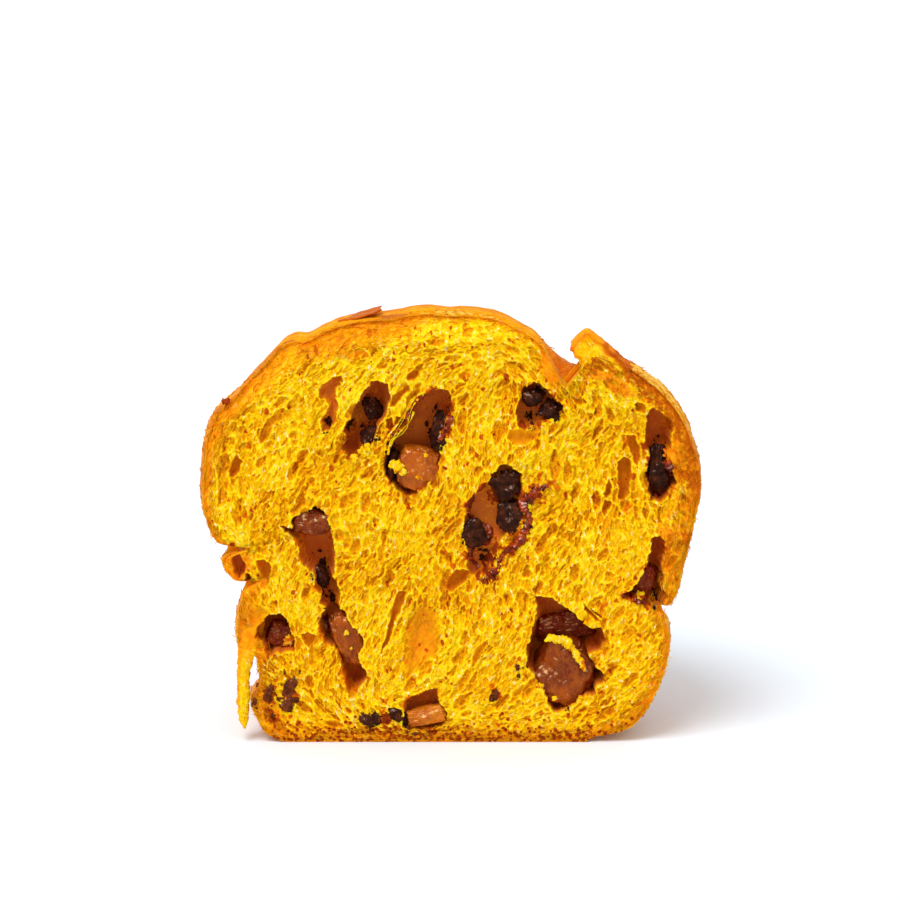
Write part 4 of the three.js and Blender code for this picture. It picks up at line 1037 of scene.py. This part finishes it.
# ---- Chocolate crumbs -----------------------------------------------------------------------------------------
# Broken bits of the same chocolate that stick to the walls of the bubbles and to the crumb.
# Each group gives the middle x and z, the half-spread across and tall, and how many bits there are.
CRUMB_GROUPS = [
    (-23.1, 106.5, 3.9, 3.2, 26), (-25.1, 98.9, 2.5, 3.5, 26), (-31.2, 101.3, 1.4, 2, 8),
    (-3.9, 99.5, 3.4, 6.4, 36), (-16.5, 99, 1, 2.5, 6), (-18.6, 91.6, 1.9, 5, 22), (-16, 82.9, 2, 2, 6),
    (27.6, 111.2, 3, 3.2, 18), (32, 106.5, 3.1, 3.3, 20), (24.8, 103, 2.5, 2, 14), (17.9, 83.9, 4.4, 4.6, 22),
    (18.3, 74, 3.7, 5.2, 26), (8, 67.6, 3.3, 3.8, 16), (10.8, 60.9, 2.8, 3, 12), (24.5, 69, 1.6, 2.7, 8),
    (64.1, 88.7, 3, 7.8, 44), (-39.6, 53.6, 3.6, 5.9, 30), (-38.5, 44.7, 1.7, 1.9, 10),
    (-37.3, 102.7, 1.6, 3.2, 10), (-59.7, 15, 2.6, 4.1, 8), (-52, 18.2, 3.4, 1.9, 6), (-53.2, 13.4, 3, 1.8, 6),
    (-51.3, 22.6, 4.5, 0.5, 4), (-55, 8, 2.5, 1.9, 5), (-24.5, 7, 3.4, 2.9, 16), (-16.7, 8, 3.4, 2.5, 16),
    (-10, 3.2, 5, 1.6, 14), (13.6, 14.7, 3.5, 2.2, 8), (35.7, 11.2, 2.6, 0.8, 6), (42.9, 16, 2, 1.6, 6),
    (22.9, 22.6, 1.7, 4.6, 8), (64.4, 45.3, 2.6, 2.2, 12),
]


def bits(x, y, z, size, seed):
    """Angular crumbs: small balls whose points stand at random distances from their middles, one for each place.
    Returns all their points and faces as one mesh."""
    draw = np.random.default_rng(seed)
    way = ball(6, 9)
    sway = draw.uniform(0.55, 1.25, (len(x), len(way), 1)) * draw.uniform(0.5, 1.5, (len(x), 1, 3))
    spots = np.stack([x, y, z], -1)[:, None] + way * sway * np.asarray(size)[:, None, None]
    starts = len(way) * np.arange(len(x))[:, None, None]
    faces = [(f + starts).reshape(-1, f.shape[1]) for f in lump_faces(6, 9)]
    return spots.reshape(-1, 3), faces


dice = np.random.default_rng(301)
crumb_x, crumb_z, crumb_size = [], [], []
for x, z, across, tall, number in CRUMB_GROUPS:
    crumb_x.append(x + across * np.clip(dice.normal(0, 0.5, number), -1, 1))
    crumb_z.append(z + tall * np.clip(dice.normal(0, 0.5, number), -1, 1))
    crumb_size.append(0.16 + dice.gamma(1.3, 0.22, number).clip(0, 1.0))
crumb_x, crumb_z, crumb_size = (np.concatenate(part) for part in (crumb_x, crumb_z, crumb_size))
crumb_y = read_map(map_depth, crumb_x, crumb_z) * 0.94 + 0.1 * crumb_size
points, faces = bits(crumb_x, crumb_y, crumb_z, crumb_size, 302)
points[:, 1] = np.maximum(points[:, 1], 0.02)
points[:, 2] = np.maximum(points[:, 2], 0.3)
warm = 0.12 + 0.6 * (points[:, 2] < 26)
piece = make_piece("chocolate_crumbs", points, faces, {"warm": warm, "glint": 0 * warm}, chocolate_finish)

# ---- Melted chocolate -----------------------------------------------------------------------------------------
# Chocolate and syrup that ran in the oven and set as shiny red-brown ridges on the walls of the bubbles.
# Each runs through places (x, z) and has the half-widths there.
RUNS = [
    ([(30.4, 83), (27.9, 81.4), (25.1, 79.2), (23, 77.6), (23.6, 74.4), (24.9, 71.9), (23.6, 68.7), (22.4, 65.5),
      (19.9, 62.9), (17.7, 61.6), (15.6, 59.1), (14.6, 55.9), (12.5, 53.3), (10, 51.7)],
     [0.5, 1.1, 1.6, 1.7, 1.0, 1.2, 1.3, 1.1, 0.9, 0.8, 0.8, 1.2, 1.3, 0.6]),
    ([(-0.9, 106.1), (0, 103.6), (-1.2, 100.4), (-3.1, 97.3), (-4, 94.1)], [0.4, 0.8, 0.7, 0.8, 0.4]),
    ([(7.4, 78.2), (5.6, 74.4), (6.2, 71.2), (9.3, 68.7), (12.4, 67.4), (11.8, 63.9), (8.1, 62.9), (6.2, 59.1),
      (8.7, 55.2)],
     [0.4, 0.8, 0.9, 1.0, 1.3, 1.0, 0.9, 0.8, 0.6]),
    ([(65, 92.5), (67.5, 89.7), (69.4, 85.2), (67.6, 81.4), (65.2, 78.2), (62.1, 78.9)],
     [0.6, 1.1, 1.0, 1.3, 1.0, 0.5]),
    ([(-40.6, 40.4), (-39.4, 37.2), (-38.5, 33.3)], [0.5, 0.9, 0.5]),
    ([(-16.8, 96.4), (-16.9, 99.6), (-14.6, 102.6), (-12, 106.6), (-9.4, 110.2), (-6.6, 111.6)],
     [0.5, 0.8, 0.5, 0.6, 0.8, 0.4]),
    ([(-19, 92), (-19.4, 88), (-18, 84), (-14.6, 80.4)], [0.6, 1.0, 0.9, 0.6]),
    ([(61, 44.8), (57, 46.4), (53.8, 47.4)], [0.5, 1.0, 0.5]),
]


def cord(path, widths, depth, flat, seed, steps=20, sides=16):
    """A tube along a smooth path through (x, z) places at the crumb's surface: rings of points whose radius
    follows the widths and swells at random, pressed flat in depth, closed by a point at each end."""
    places = np.arange(len(path))
    t = np.linspace(0, len(path) - 1, steps * (len(path) - 1) + 1)
    x, z = (curve_through(list(zip(places, np.array(path)[:, k])))(t) for k in (0, 1))
    radius = curve_through(list(zip(places, widths)))(t)
    heading = np.arctan2(np.gradient(z), np.gradient(x))[:, None]
    turn = np.linspace(0, 2 * math.pi, sides, endpoint=False)
    lump = 1 + 0.5 * patches(x[:, None] + np.cos(turn), np.sin(turn), z[:, None], 0.9, seed)
    lump = lump + 0.45 * patches(x[:, None] + np.cos(turn), np.sin(turn), z[:, None], 0.42, seed + 40)
    side = radius[:, None] * lump * np.cos(turn)
    y = (read_map(map_depth, x, z) * depth - 0.1)[:, None] + flat * radius[:, None] * lump * np.sin(turn)
    rings = np.stack([x[:, None] - side * np.sin(heading), y, z[:, None] + side * np.cos(heading)], -1)
    ends = rings[[0, -1]].mean(1)
    return np.concatenate([rings.reshape(-1, 3), ends]), [f[:, ::-1] for f in lump_faces(len(t), sides)]


def joined(parts):
    """Several (points, faces) as one."""
    starts = np.cumsum([0] + [len(points) for points, _ in parts])
    faces = [f + start for (_, some), start in zip(parts, starts) for f in some]
    return np.concatenate([points for points, _ in parts]), faces


melt_finish, tree, shader = new_finish("melted_chocolate", 0.2, 0.2, (1.0, 0.2, 0.05), 0.001)
shader.inputs["Specular IOR Level"].default_value = 0.12
gloss = ramp(tree, speckle(tree, 0.0014, 4, 0.6), [
    (0.34, 0.50, 0.075, 0.006), (0.5, 0.24, 0.022, 0.004), (0.66, 0.06, 0.008, 0.003),
])
# Painted highlight: pale red flecks where the runs face halfway between the lamp and the camera.
shine = times(tree, read(tree, "glint"), greys(tree, speckle(tree, 0.0007, 2, 0.6), 0.48, 0.58))
tree.links.new(blend(tree, times(tree, shine, 0.7), gloss, (0.92, 0.50, 0.42)), shader.inputs["Base Color"])
roughen(tree, shader, speckle(tree, 0.0009, 3, 0.55), 0.0005, 0.7)
points, faces = joined([cord(path, widths, 1.0, 0.6, 500 + k) for k, (path, widths) in enumerate(RUNS)])
piece = make_piece("melted_chocolate", points, faces, {"glint": facing(points, faces, 0.86, 0.97)}, melt_finish)

# ---- Strands and lumps of crumb -------------------------------------------------------------------------------
# Thin strands of the torn web that still bridge the bubbles, and lumps of crumb that stick to the fruit.
STRANDS = [
    [(-19.2, 92.5), (-18.2, 97.3), (-15.5, 98.5), (-13.3, 101.1), (-12.7, 104.2), (-11.7, 107.4), (-9.9, 110.2)],
    [(-17.6, 100.4), (-15.1, 103.6), (-12.7, 107.4), (-10.2, 110.8), (-7.7, 112.7)],
    [(-19.2, 98.2), (-16.4, 102.3), (-13.6, 106.4), (-10.8, 110.5)],
    [(-18.6, 95.2), (-16.2, 100.6), (-14.2, 104), (-12.4, 109.2), (-9, 112)],
    [(-17.8, 97), (-14.8, 100.4), (-12.4, 103), (-11.2, 106)],
    [(42.1, 45.3), (44.4, 42.4), (47.2, 39.8)],
    [(41.9, 39.1), (44.4, 37.2), (47.2, 37.9)],
    [(66.2, 94.4), (67.6, 91), (69.6, 89.4), (70.6, 86)],
]
# Middle x, y and z, and size.
LUMPS = [
    (-16.4, 0.8, 89, 2.2), (-14.6, 0.4, 87.2, 1.3), (-9.3, 0.8, 85.5, 1.1), (-32.5, 1.3, 35.3, 0.8),
    (-31, 1.4, 30.1, 0.7), (-50.7, 5, 31.7, 1.8), (59.3, 3.2, 46.9, 1.5), (-27.2, 1, 93.5, 1.5),
    (-25.4, 0.8, 95, 1.2), (-29.7, 1, 91.3, 1.4), (-45, 2, 72.6, 0.8), (-7.4, 0.6, 92.4, 0.7), (33, 2.2, 14, 1.0),
    (28.5, 1.8, 18, 0.9), (-69.5, 4, 108.6, 1.3), (29.4, 1, 85.2, 0.9), (33.2, 0.6, 82.1, 0.9),
]
# A flap of crumb that hangs over the largest fruit, this far behind the knife's plane.
FLAP_BACK = 1.6
FLAP = [(29.6, 32.6), (31.9, 33.5), (34.4, 33.2), (36.9, 31.7), (38.8, 29.4), (40.4, 26.9), (41.7, 24.6), (42.2, 22.8)]

parts = [cord(path, [0.35] + [0.09] * (len(path) - 2) + [0.35], 0.12, 0.9, 520 + k) for k, path in enumerate(STRANDS)]
flap, faces = cord(FLAP, [0.4, 1.1, 1.4, 1.4, 1.1, 0.9, 0.8, 0.3], 0, 0.7, 530)
parts.append((flap + np.array([0, FLAP_BACK, 0]), faces))
for k, (x, y, z, size) in enumerate(LUMPS):
    way = ball(30, 44)
    rough = 0.45 * patches(*way.T, 0.7, 540 + k) + 0.34 * patches(*way.T, 0.33, 560 + k)
    rough = rough + 0.2 * patches(*way.T, 0.16, 600 + k)
    lump = way * (0.85 + rough)[:, None] * size * np.array([1, 0.7, 1])
    parts.append((np.array([x, y, z]) + lump, lump_faces(30, 44)))
points, faces = joined(parts)
tone = 0.2 + 0.3 * patches(*points.T, 0.8, 580)
x, y, z = points.T
dyed = 0.35 * ease(patches(x, y, z, 1.3, 581), 0.2, 0.7) + 0.6 * (x < -65) + 0.3 * (x > 28) * (z > 81)
piece = make_piece("strands_and_lumps", points, faces, crumb_marks(tone, 0, dyed), crumb_finish)

# ---- Shreds of the torn crumb ---------------------------------------------------------------------------------
# Tearing left thousands of fine shreds of the web on the cut: pale ones all over it, along the bubbles' lean, and
# orange to brown ones in the tough crumb beside the crust, along the loaf's edge.
SHRED_STEPS = 7
SHRED_POINTS = 3 * SHRED_STEPS


def needles(places, across, outward, width):
    """Thin three-sided shreds, one for each row of places: the places (shreds, steps, 3) are the middle line, and
    the ring round each holds a point outward and two to the sides. The half-width is width * sqrt(1 - share^2) / 2."""
    number, steps = places.shape[:2]
    share = np.linspace(-0.98, 0.98, steps)
    half = (0.5 * np.asarray(width)[:, None] * np.sqrt(1 - share**2))[..., None, None]
    turn = np.array([0, 2, 4]) * math.pi / 3
    ring = np.cos(turn)[:, None] * outward[..., None, :] + np.sin(turn)[:, None] * across[..., None, :]
    points = places[..., None, :] + half * ring
    starts = 3 * steps * np.arange(number)[:, None, None]
    sides = grid_faces(steps, 3, wrap=True)[:, ::-1]
    ends = np.array([[2, 1, 0], [3 * steps - 3, 3 * steps - 2, 3 * steps - 1]])
    return points.reshape(-1, 3), [(sides + starts).reshape(-1, 4), (ends + starts).reshape(-1, 3)]


def on_the_cut(x, z, lean, length, lift, draw):
    """Bent middle lines that lie on the cut crumb: each runs through its place along its lean and bridges what is
    deeper than its ends. Also the direction across each, in the knife's plane, and the direction out of the crumb,
    which turns up and outward where the torn edge leans back."""
    share = np.linspace(-1, 1, SHRED_STEPS)
    heading = lean[:, None] + draw.normal(0, 0.45, len(x))[:, None] * share
    px = x[:, None] + 0.5 * length[:, None] * share * np.sin(heading)
    pz = z[:, None] + 0.5 * length[:, None] * share * np.cos(heading)
    edge = outline(np.arctan2(pz - CORE_HEIGHT, px))
    gap = np.hypot(edge[0], edge[2] - CORE_HEIGHT) - np.hypot(px, pz - CORE_HEIGHT)
    deep = read_map(map_depth, px, pz) * ease(gap, 0, 0.7) + edge[1] * (1 - ease(gap, 0, 1.4 + 0.6 * edge[1]))
    level = np.minimum(deep, deep[:, [0, -1]].mean(1, keepdims=True)) - lift[:, None]
    across = np.stack([np.cos(heading), 0 * heading, -np.sin(heading)], -1)
    width = 1.4 + 0.6 * edge[1]
    share = np.clip(gap / width, 0, 1)
    steep = 6 * share * (1 - share) * edge[1] / width / np.hypot(px, pz - CORE_HEIGHT)
    outward = np.stack([steep * px, -np.ones(px.shape), steep * (pz - CORE_HEIGHT)], -1)
    return np.stack([px, level, pz], -1), across, outward / np.linalg.norm(outward, axis=-1, keepdims=True)


draw = np.random.default_rng(611)
PALE_COUNT = 9000
EDGE_COUNT = 7000
x, z = scattered(draw, PALE_COUNT, 0.96)
high = (read_map(pit_tone_and_shade, x, z) < 0.36) & (read_map(map_cavity, x, z) < 0.02) & (read_map(smooth_floor, x, z) < 0.2)
x, z = x[high], z[high]
number = len(x)
lean = read_map(map_lean, x, z) + draw.normal(0, 0.5, number)
length = 0.7 + draw.gamma(2, 0.45, number).clip(0, 3.4)
width = draw.uniform(0.12, 0.3, number)
places, across, outward = on_the_cut(x, z, lean, length, draw.uniform(-0.05, 0.12, number), draw)
points, faces = needles(places, across, outward, width)
tone = np.repeat(draw.uniform(-0.02, 0.36, number), SHRED_POINTS)
spots = points[:, 0], points[:, 2]
marks = crumb_marks(tone, read_map(map_skin, *spots), 0.8 * read_map(map_stain, *spots))
piece = make_piece("pale_shreds", points, faces, marks, crumb_finish)

turn = draw.uniform(-math.pi, math.pi, EDGE_COUNT)
turn = turn[draw.uniform(0, 7, EDGE_COUNT) < band_at(np.degrees(turn) % 360)]
number = len(turn)
edge = outline(turn)
inward = band_at(np.degrees(turn) % 360) * draw.uniform(0, 1.15, number) ** 1.3
share = 1 - inward / np.hypot(edge[0], edge[2] - CORE_HEIGHT)
x, z = share * edge[0], CORE_HEIGHT + share * (edge[2] - CORE_HEIGHT)
lean = np.arctan2(np.sin(turn), -np.cos(turn)) + draw.normal(0, 0.28, number)
length = (1.0 + draw.gamma(2, 0.8, number).clip(0, 5)) * (1 - 0.75 * ((x < -57) & (z > 47) & (z < 65)))
places, across, outward = on_the_cut(x, z, lean, length, draw.uniform(-0.05, 0.2, number), draw)
places[..., 2] = np.maximum(places[..., 2], 0.4)
points, faces = needles(places, across, outward, draw.uniform(0.14, 0.34, number))
burnt = np.repeat(0.8 * draw.uniform(0, 1, number) ** 6, SHRED_POINTS)
burnt = np.maximum(burnt, 1.6 * read_map(map_stain, points[:, 0], points[:, 2]))
marks = crumb_marks(0.2 + 0 * burnt, np.repeat(draw.uniform(0.4, 1.0, number), SHRED_POINTS), 0.5 * burnt)
piece = make_piece("edge_shreds", points, faces, marks, crumb_finish)

# ---- Scales of the skin ---------------------------------------------------------------------------------------
# The baked skin is flaky: thin flat scales of it lie on the dome and the sides, spring up at one end and roughen the
# outline.
SCALE_COUNT = 4200

number = SCALE_COUNT
turn = draw.uniform(math.radians(-62), math.radians(242), number)
back = draw.uniform(0, 1, number) ** 1.3
start, ahead = (
    np.stack(crust_point(t, front_tilt(t, edge_depth(t) + 0.6) + back), -1) for t in (turn, turn + 0.01)
)
way = draw.normal(0, 0.35, number) + np.where(draw.uniform(0, 1, number) < 0.5, 0, math.pi)
length = 0.7 + draw.gamma(2, 0.42, number).clip(0, 2.6)
ahead = ahead - start
ahead = ahead / np.linalg.norm(ahead, axis=1, keepdims=True)
outward = start - np.array([0, CUT_OFFSET, CORE_HEIGHT])
outward = outward / np.linalg.norm(outward, axis=1, keepdims=True)
sideways = np.cross(ahead, outward)
heading = ahead * np.cos(way)[:, None] + sideways * np.sin(way)[:, None]
share = np.linspace(0, 1, SHRED_STEPS)[:, None]
spring = draw.gamma(1.2, 0.16, number).clip(0, 1)[:, None, None]
places = start[:, None] + heading[:, None] * length[:, None, None] * share
places = places + outward[:, None] * (spring * share**1.5 - 0.02)
places[..., 2] = np.maximum(places[..., 2], 0.5)
across = np.cross(heading, outward)[:, None] + 0 * places
points, faces = needles(places, across, 0.35 * outward[:, None] + 0 * places, draw.uniform(0.3, 1.1, number))
marks = {"bake": np.repeat(draw.uniform(0.34, 0.72, number), SHRED_POINTS)}
piece = make_piece("skin_scales", points, faces, marks, crust_finish)

# ---- Ear of the score -----------------------------------------------------------------------------------------
# The flap that stood up beside the score: crumb in front, baked skin over it, sinking away to the back.
# Pairs of points run from its root on the left over the tip to its right end: (x, height above the dome).
EAR_TOP = [
    (41.4, -12), (41.2, -7), (40.3, -5), (39.8, -2.4), (37.2, -0.2), (38, 1.6), (40, 4.3), (42.4, 6.3), (45.5, 5.1),
    (49.2, 3.6), (53, 1.6), (58, -1.4), (61, -3.6),
]
EAR_FOOT = [
    (42.4, -13), (43, -12.6), (43.4, -12.2), (44, -12), (44.8, -11.6), (45.4, -11.6), (46.2, -11.6), (47.4, -11.8),
    (49, -12), (51.4, -12), (54.4, -11), (58, -9), (60.6, -5.4),
]
EAR_LENGTH = 28


def dome_height(x, y):
    """The bare dome's height over a place, found by repetition from the reach in the direction of the last guess."""
    z = np.full(np.broadcast(x, y).shape, 125.0)
    for _ in range(14):
        level = np.sqrt(x**2 + (y - CUT_OFFSET) ** 2 + (z - CORE_HEIGHT) ** 2)
        reach = reach_along(x / level, (y - CUT_OFFSET) / level, (z - CORE_HEIGHT) / level)
        z = CORE_HEIGHT + np.sqrt(np.maximum(reach**2 - x**2 - (y - CUT_OFFSET) ** 2, 1))
    return z


def ruled(one, other, along, across):
    """A grid between two chains of matching points: smooth along the chains, straight across from one to other."""
    one, other = np.array(one, float), np.array(other, float)
    place = np.arange(len(one))
    u = np.linspace(0, len(one) - 1, along)
    chains = [np.stack([curve_through(list(zip(place, c[:, k])))(u) for k in (0, 1)], -1) for c in (one, other)]
    w = np.linspace(0, 1, across)[:, None, None]
    return chains[0] * (1 - w) + chains[1] * w


def closed_block(front, rings, back):
    """A closed mesh: a front grid, rings of its rim's points running back, and a back grid of the same shape."""
    m, n = front.shape[:2]
    rim = rim_of(np.arange(m * n).reshape(m, n))
    count = len(rim)
    base = m * n + count * len(rings)
    loops = [rim] + [m * n + count * k + np.arange(count) for k in range(len(rings))] + [base + rim]
    points = np.concatenate([front.reshape(-1, 3)] + list(rings) + [back.reshape(-1, 3)])
    sides = [np.stack([a, np.roll(a, -1), np.roll(b, -1), b], -1) for a, b in zip(loops[:-1], loops[1:])]
    return points, [grid_faces(m, n), np.concatenate(sides), grid_faces(m, n)[:, ::-1] + base]


ear = ruled(EAR_TOP, EAR_FOOT, 200, 44)
ear_x, ear_above = ear[..., 0], ear[..., 1]


def ear_at(x, above, y):
    """The ear's section moved back to a depth: it sinks and leans as it goes, following the dome under it."""
    lift = 1 - ease(y, 6, EAR_LENGTH)
    z = dome_height(np.minimum(x, 58), np.maximum(y, 0)) - 2 * (x > 58) + above * lift - 6 * (1 - lift)
    ragged = 0.2 + 0.5 * ease(-above, 0, 4) * (x < 46)
    wavy = 0.25 * patches(x, y, z, 4, 401) + ragged * patches(x, y, z, 1.6, 402)
    wavy = wavy + 0.14 * patches(x, y, z, 0.7, 403)
    return np.stack([x + 0.03 * y + wavy, y, z + wavy], -1)


front = ear_at(ear_x, ear_above, np.zeros_like(ear_x) + 0.01)
rim_gap = np.linspace(0, 1, 44)[:, None] * np.hypot(ear_x[-1] - ear_x[0], ear_above[-1] - ear_above[0])
front[..., 1] = 0.25 + read_map(map_depth, front[..., 0], front[..., 2]) * ease(rim_gap, 0, 0.8) * 0.8
rim_x = rim_of(ear_x)
rings = [ear_at(rim_x, rim_of(ear_above), np.full_like(rim_x, y)) for y in np.linspace(0.9, EAR_LENGTH - 0.5, 60)]
back = ear_at(ear_x, ear_above, np.full_like(ear_x, EAR_LENGTH))
points, faces = closed_block(front, rings, back)
peel = 4.2 - 1.8 * ease(48 - front[..., 0], 0, 8) + 1.6 * patches(front[..., 0], 0, front[..., 2], 2.5, 405)
peel = 1 - ease(rim_gap, 0.3, peel)
seen = crumb_marks(
    read_map(pit_tone_and_shade, front[..., 0], front[..., 2]),
    np.clip(peel + 0.25 * ease(46 - front[..., 0], 0, 7), 0, 1),
    0.5 * peel * ease(front[..., 0], 43, 50),
)
bx, by, bz = points[front.size // 3:].T
behind = crumb_marks(
    np.zeros(len(bx)),
    1 - 0.75 * (1 - ease(bz, 119, 125)) * (bx < 46),
    0.5 * ease(bx, 43, 50) * (0.8 + 0.5 * patches(bx, by, bz, 2.2, 404)),
)
marks = {label: np.concatenate([values.ravel(), behind[label]]) for label, values in seen.items()}
piece = make_piece("ear", points, faces, marks, crumb_finish, "bread")

# ---- Hanging strip --------------------------------------------------------------------------------------------
# A shred of the side crust that came loose at the lower left and hangs beside the loaf down to its frayed end.
# Pairs of points run from the top down: the outer edge and the inner edge. Its top is tucked behind the cut.
STRIP_OUTER = [(-65.6, 44), (-66.2, 38), (-66.7, 32), (-66.6, 26), (-66.9, 20), (-67.0, 13), (-66.6, 8), (-65.4, 4.6)]
STRIP_INNER = [(-57, 44), (-58, 38), (-59.6, 32), (-62, 26), (-63, 20), (-63.2, 13), (-63.4, 8), (-64.2, 4.4)]
STRIP_TUCK = 5
STRIP_THICK = 5.6

strip = ruled(STRIP_OUTER, STRIP_INNER, 220, 40)
x, z = strip[..., 0], strip[..., 1]
ragged = 0.35 * patches(x, 0, z, 1.6, 411) + 0.2 * patches(x, 0, z, 0.6, 412)
front = np.stack([x + ragged, 0 * ragged, z + ragged], -1)
across = np.linspace(0, 1, 40)[:, None]
front[..., 1] = 0.6 - 1.5 * np.sin(math.pi * across) ** 0.6 + 0.8 * read_map(map_depth, front[..., 0], front[..., 2])
front[..., 1] += STRIP_TUCK * ease(front[..., 2], 34, 44)
rings = [rim_of(front) * np.array([1, 0, 1]) + np.array([0, y, 0]) for y in (2.4, 3.6, 5)]
back = front * np.array([1, 0, 1]) + np.array([0, 1, 0]) * (STRIP_THICK + 0.8 * np.sin(math.pi * across))[..., None]
points, faces = closed_block(front, rings, back)
faces = [f[:, ::-1] for f in faces]
outer = (1 - ease(across, 0.08, 0.42)) * (0.5 + 0.5 * ease(front[..., 2], 4, 18))
seen = crumb_marks(
    read_map(pit_tone_and_shade, front[..., 0], front[..., 2]),
    np.clip(outer + 0.6 * ease(front[..., 2], 14, 34), 0, 1),
)
behind = crumb_marks(np.zeros(front.size // 3), 0.8)
marks = {}
for label, values in seen.items():
    marks[label] = np.concatenate([values.ravel()] + [rim_of(values)] * len(rings) + [behind[label]])
piece = make_piece("hanging_strip", points, faces, marks, crumb_finish, "bread")

# ---- Loose flake ----------------------------------------------------------------------------------------------
# A curled scale of the top skin at the upper left; its right end has sprung up off the dome.
FLAKE_LEFT = -35
FLAKE_RIGHT = -21.5
FLAKE_DEPTH = (15, 29)

u = np.linspace(0, 1, 90)[None, :]
v = np.linspace(-1, 1, 40)[:, None]
taper = (0.25 + 0.75 * ease(u, 0, 0.5)) * (1 - 0.35 * ease(u, 0.8, 1))
taper = taper + 0.1 * patches(8 * u, 0, np.sign(v), 0.8, 421)
x = FLAKE_LEFT + (FLAKE_RIGHT - FLAKE_LEFT) * u + 0.8 * patches(4 * u, 4 * v, 0, 1.5, 422) * u
y = sum(FLAKE_DEPTH) / 2 + (FLAKE_DEPTH[1] - FLAKE_DEPTH[0]) / 2 * v * taper
z = dome_height(x, y) - groove_depth(x, y) - 0.5 + 1.5 * u**2.4 + 0.7 * u * v**2 + 0.35 * patches(x, y, 0, 2.6, 423)
thick = 0.5 * (1 - 0.5 * np.abs(v) ** 3) * (1 - 0.4 * u**4)
front = np.stack([x, y, z + thick], -1)
back = np.stack([x, y, z - thick], -1)
points, faces = closed_block(front, [], back)
faces = [f[:, ::-1] for f in faces]
marks = {"bake": 0.9 - 0.22 * patches(*points.T, 2.2, 424)}
piece = make_piece("flake", points, faces, marks, crust_finish, "bread")
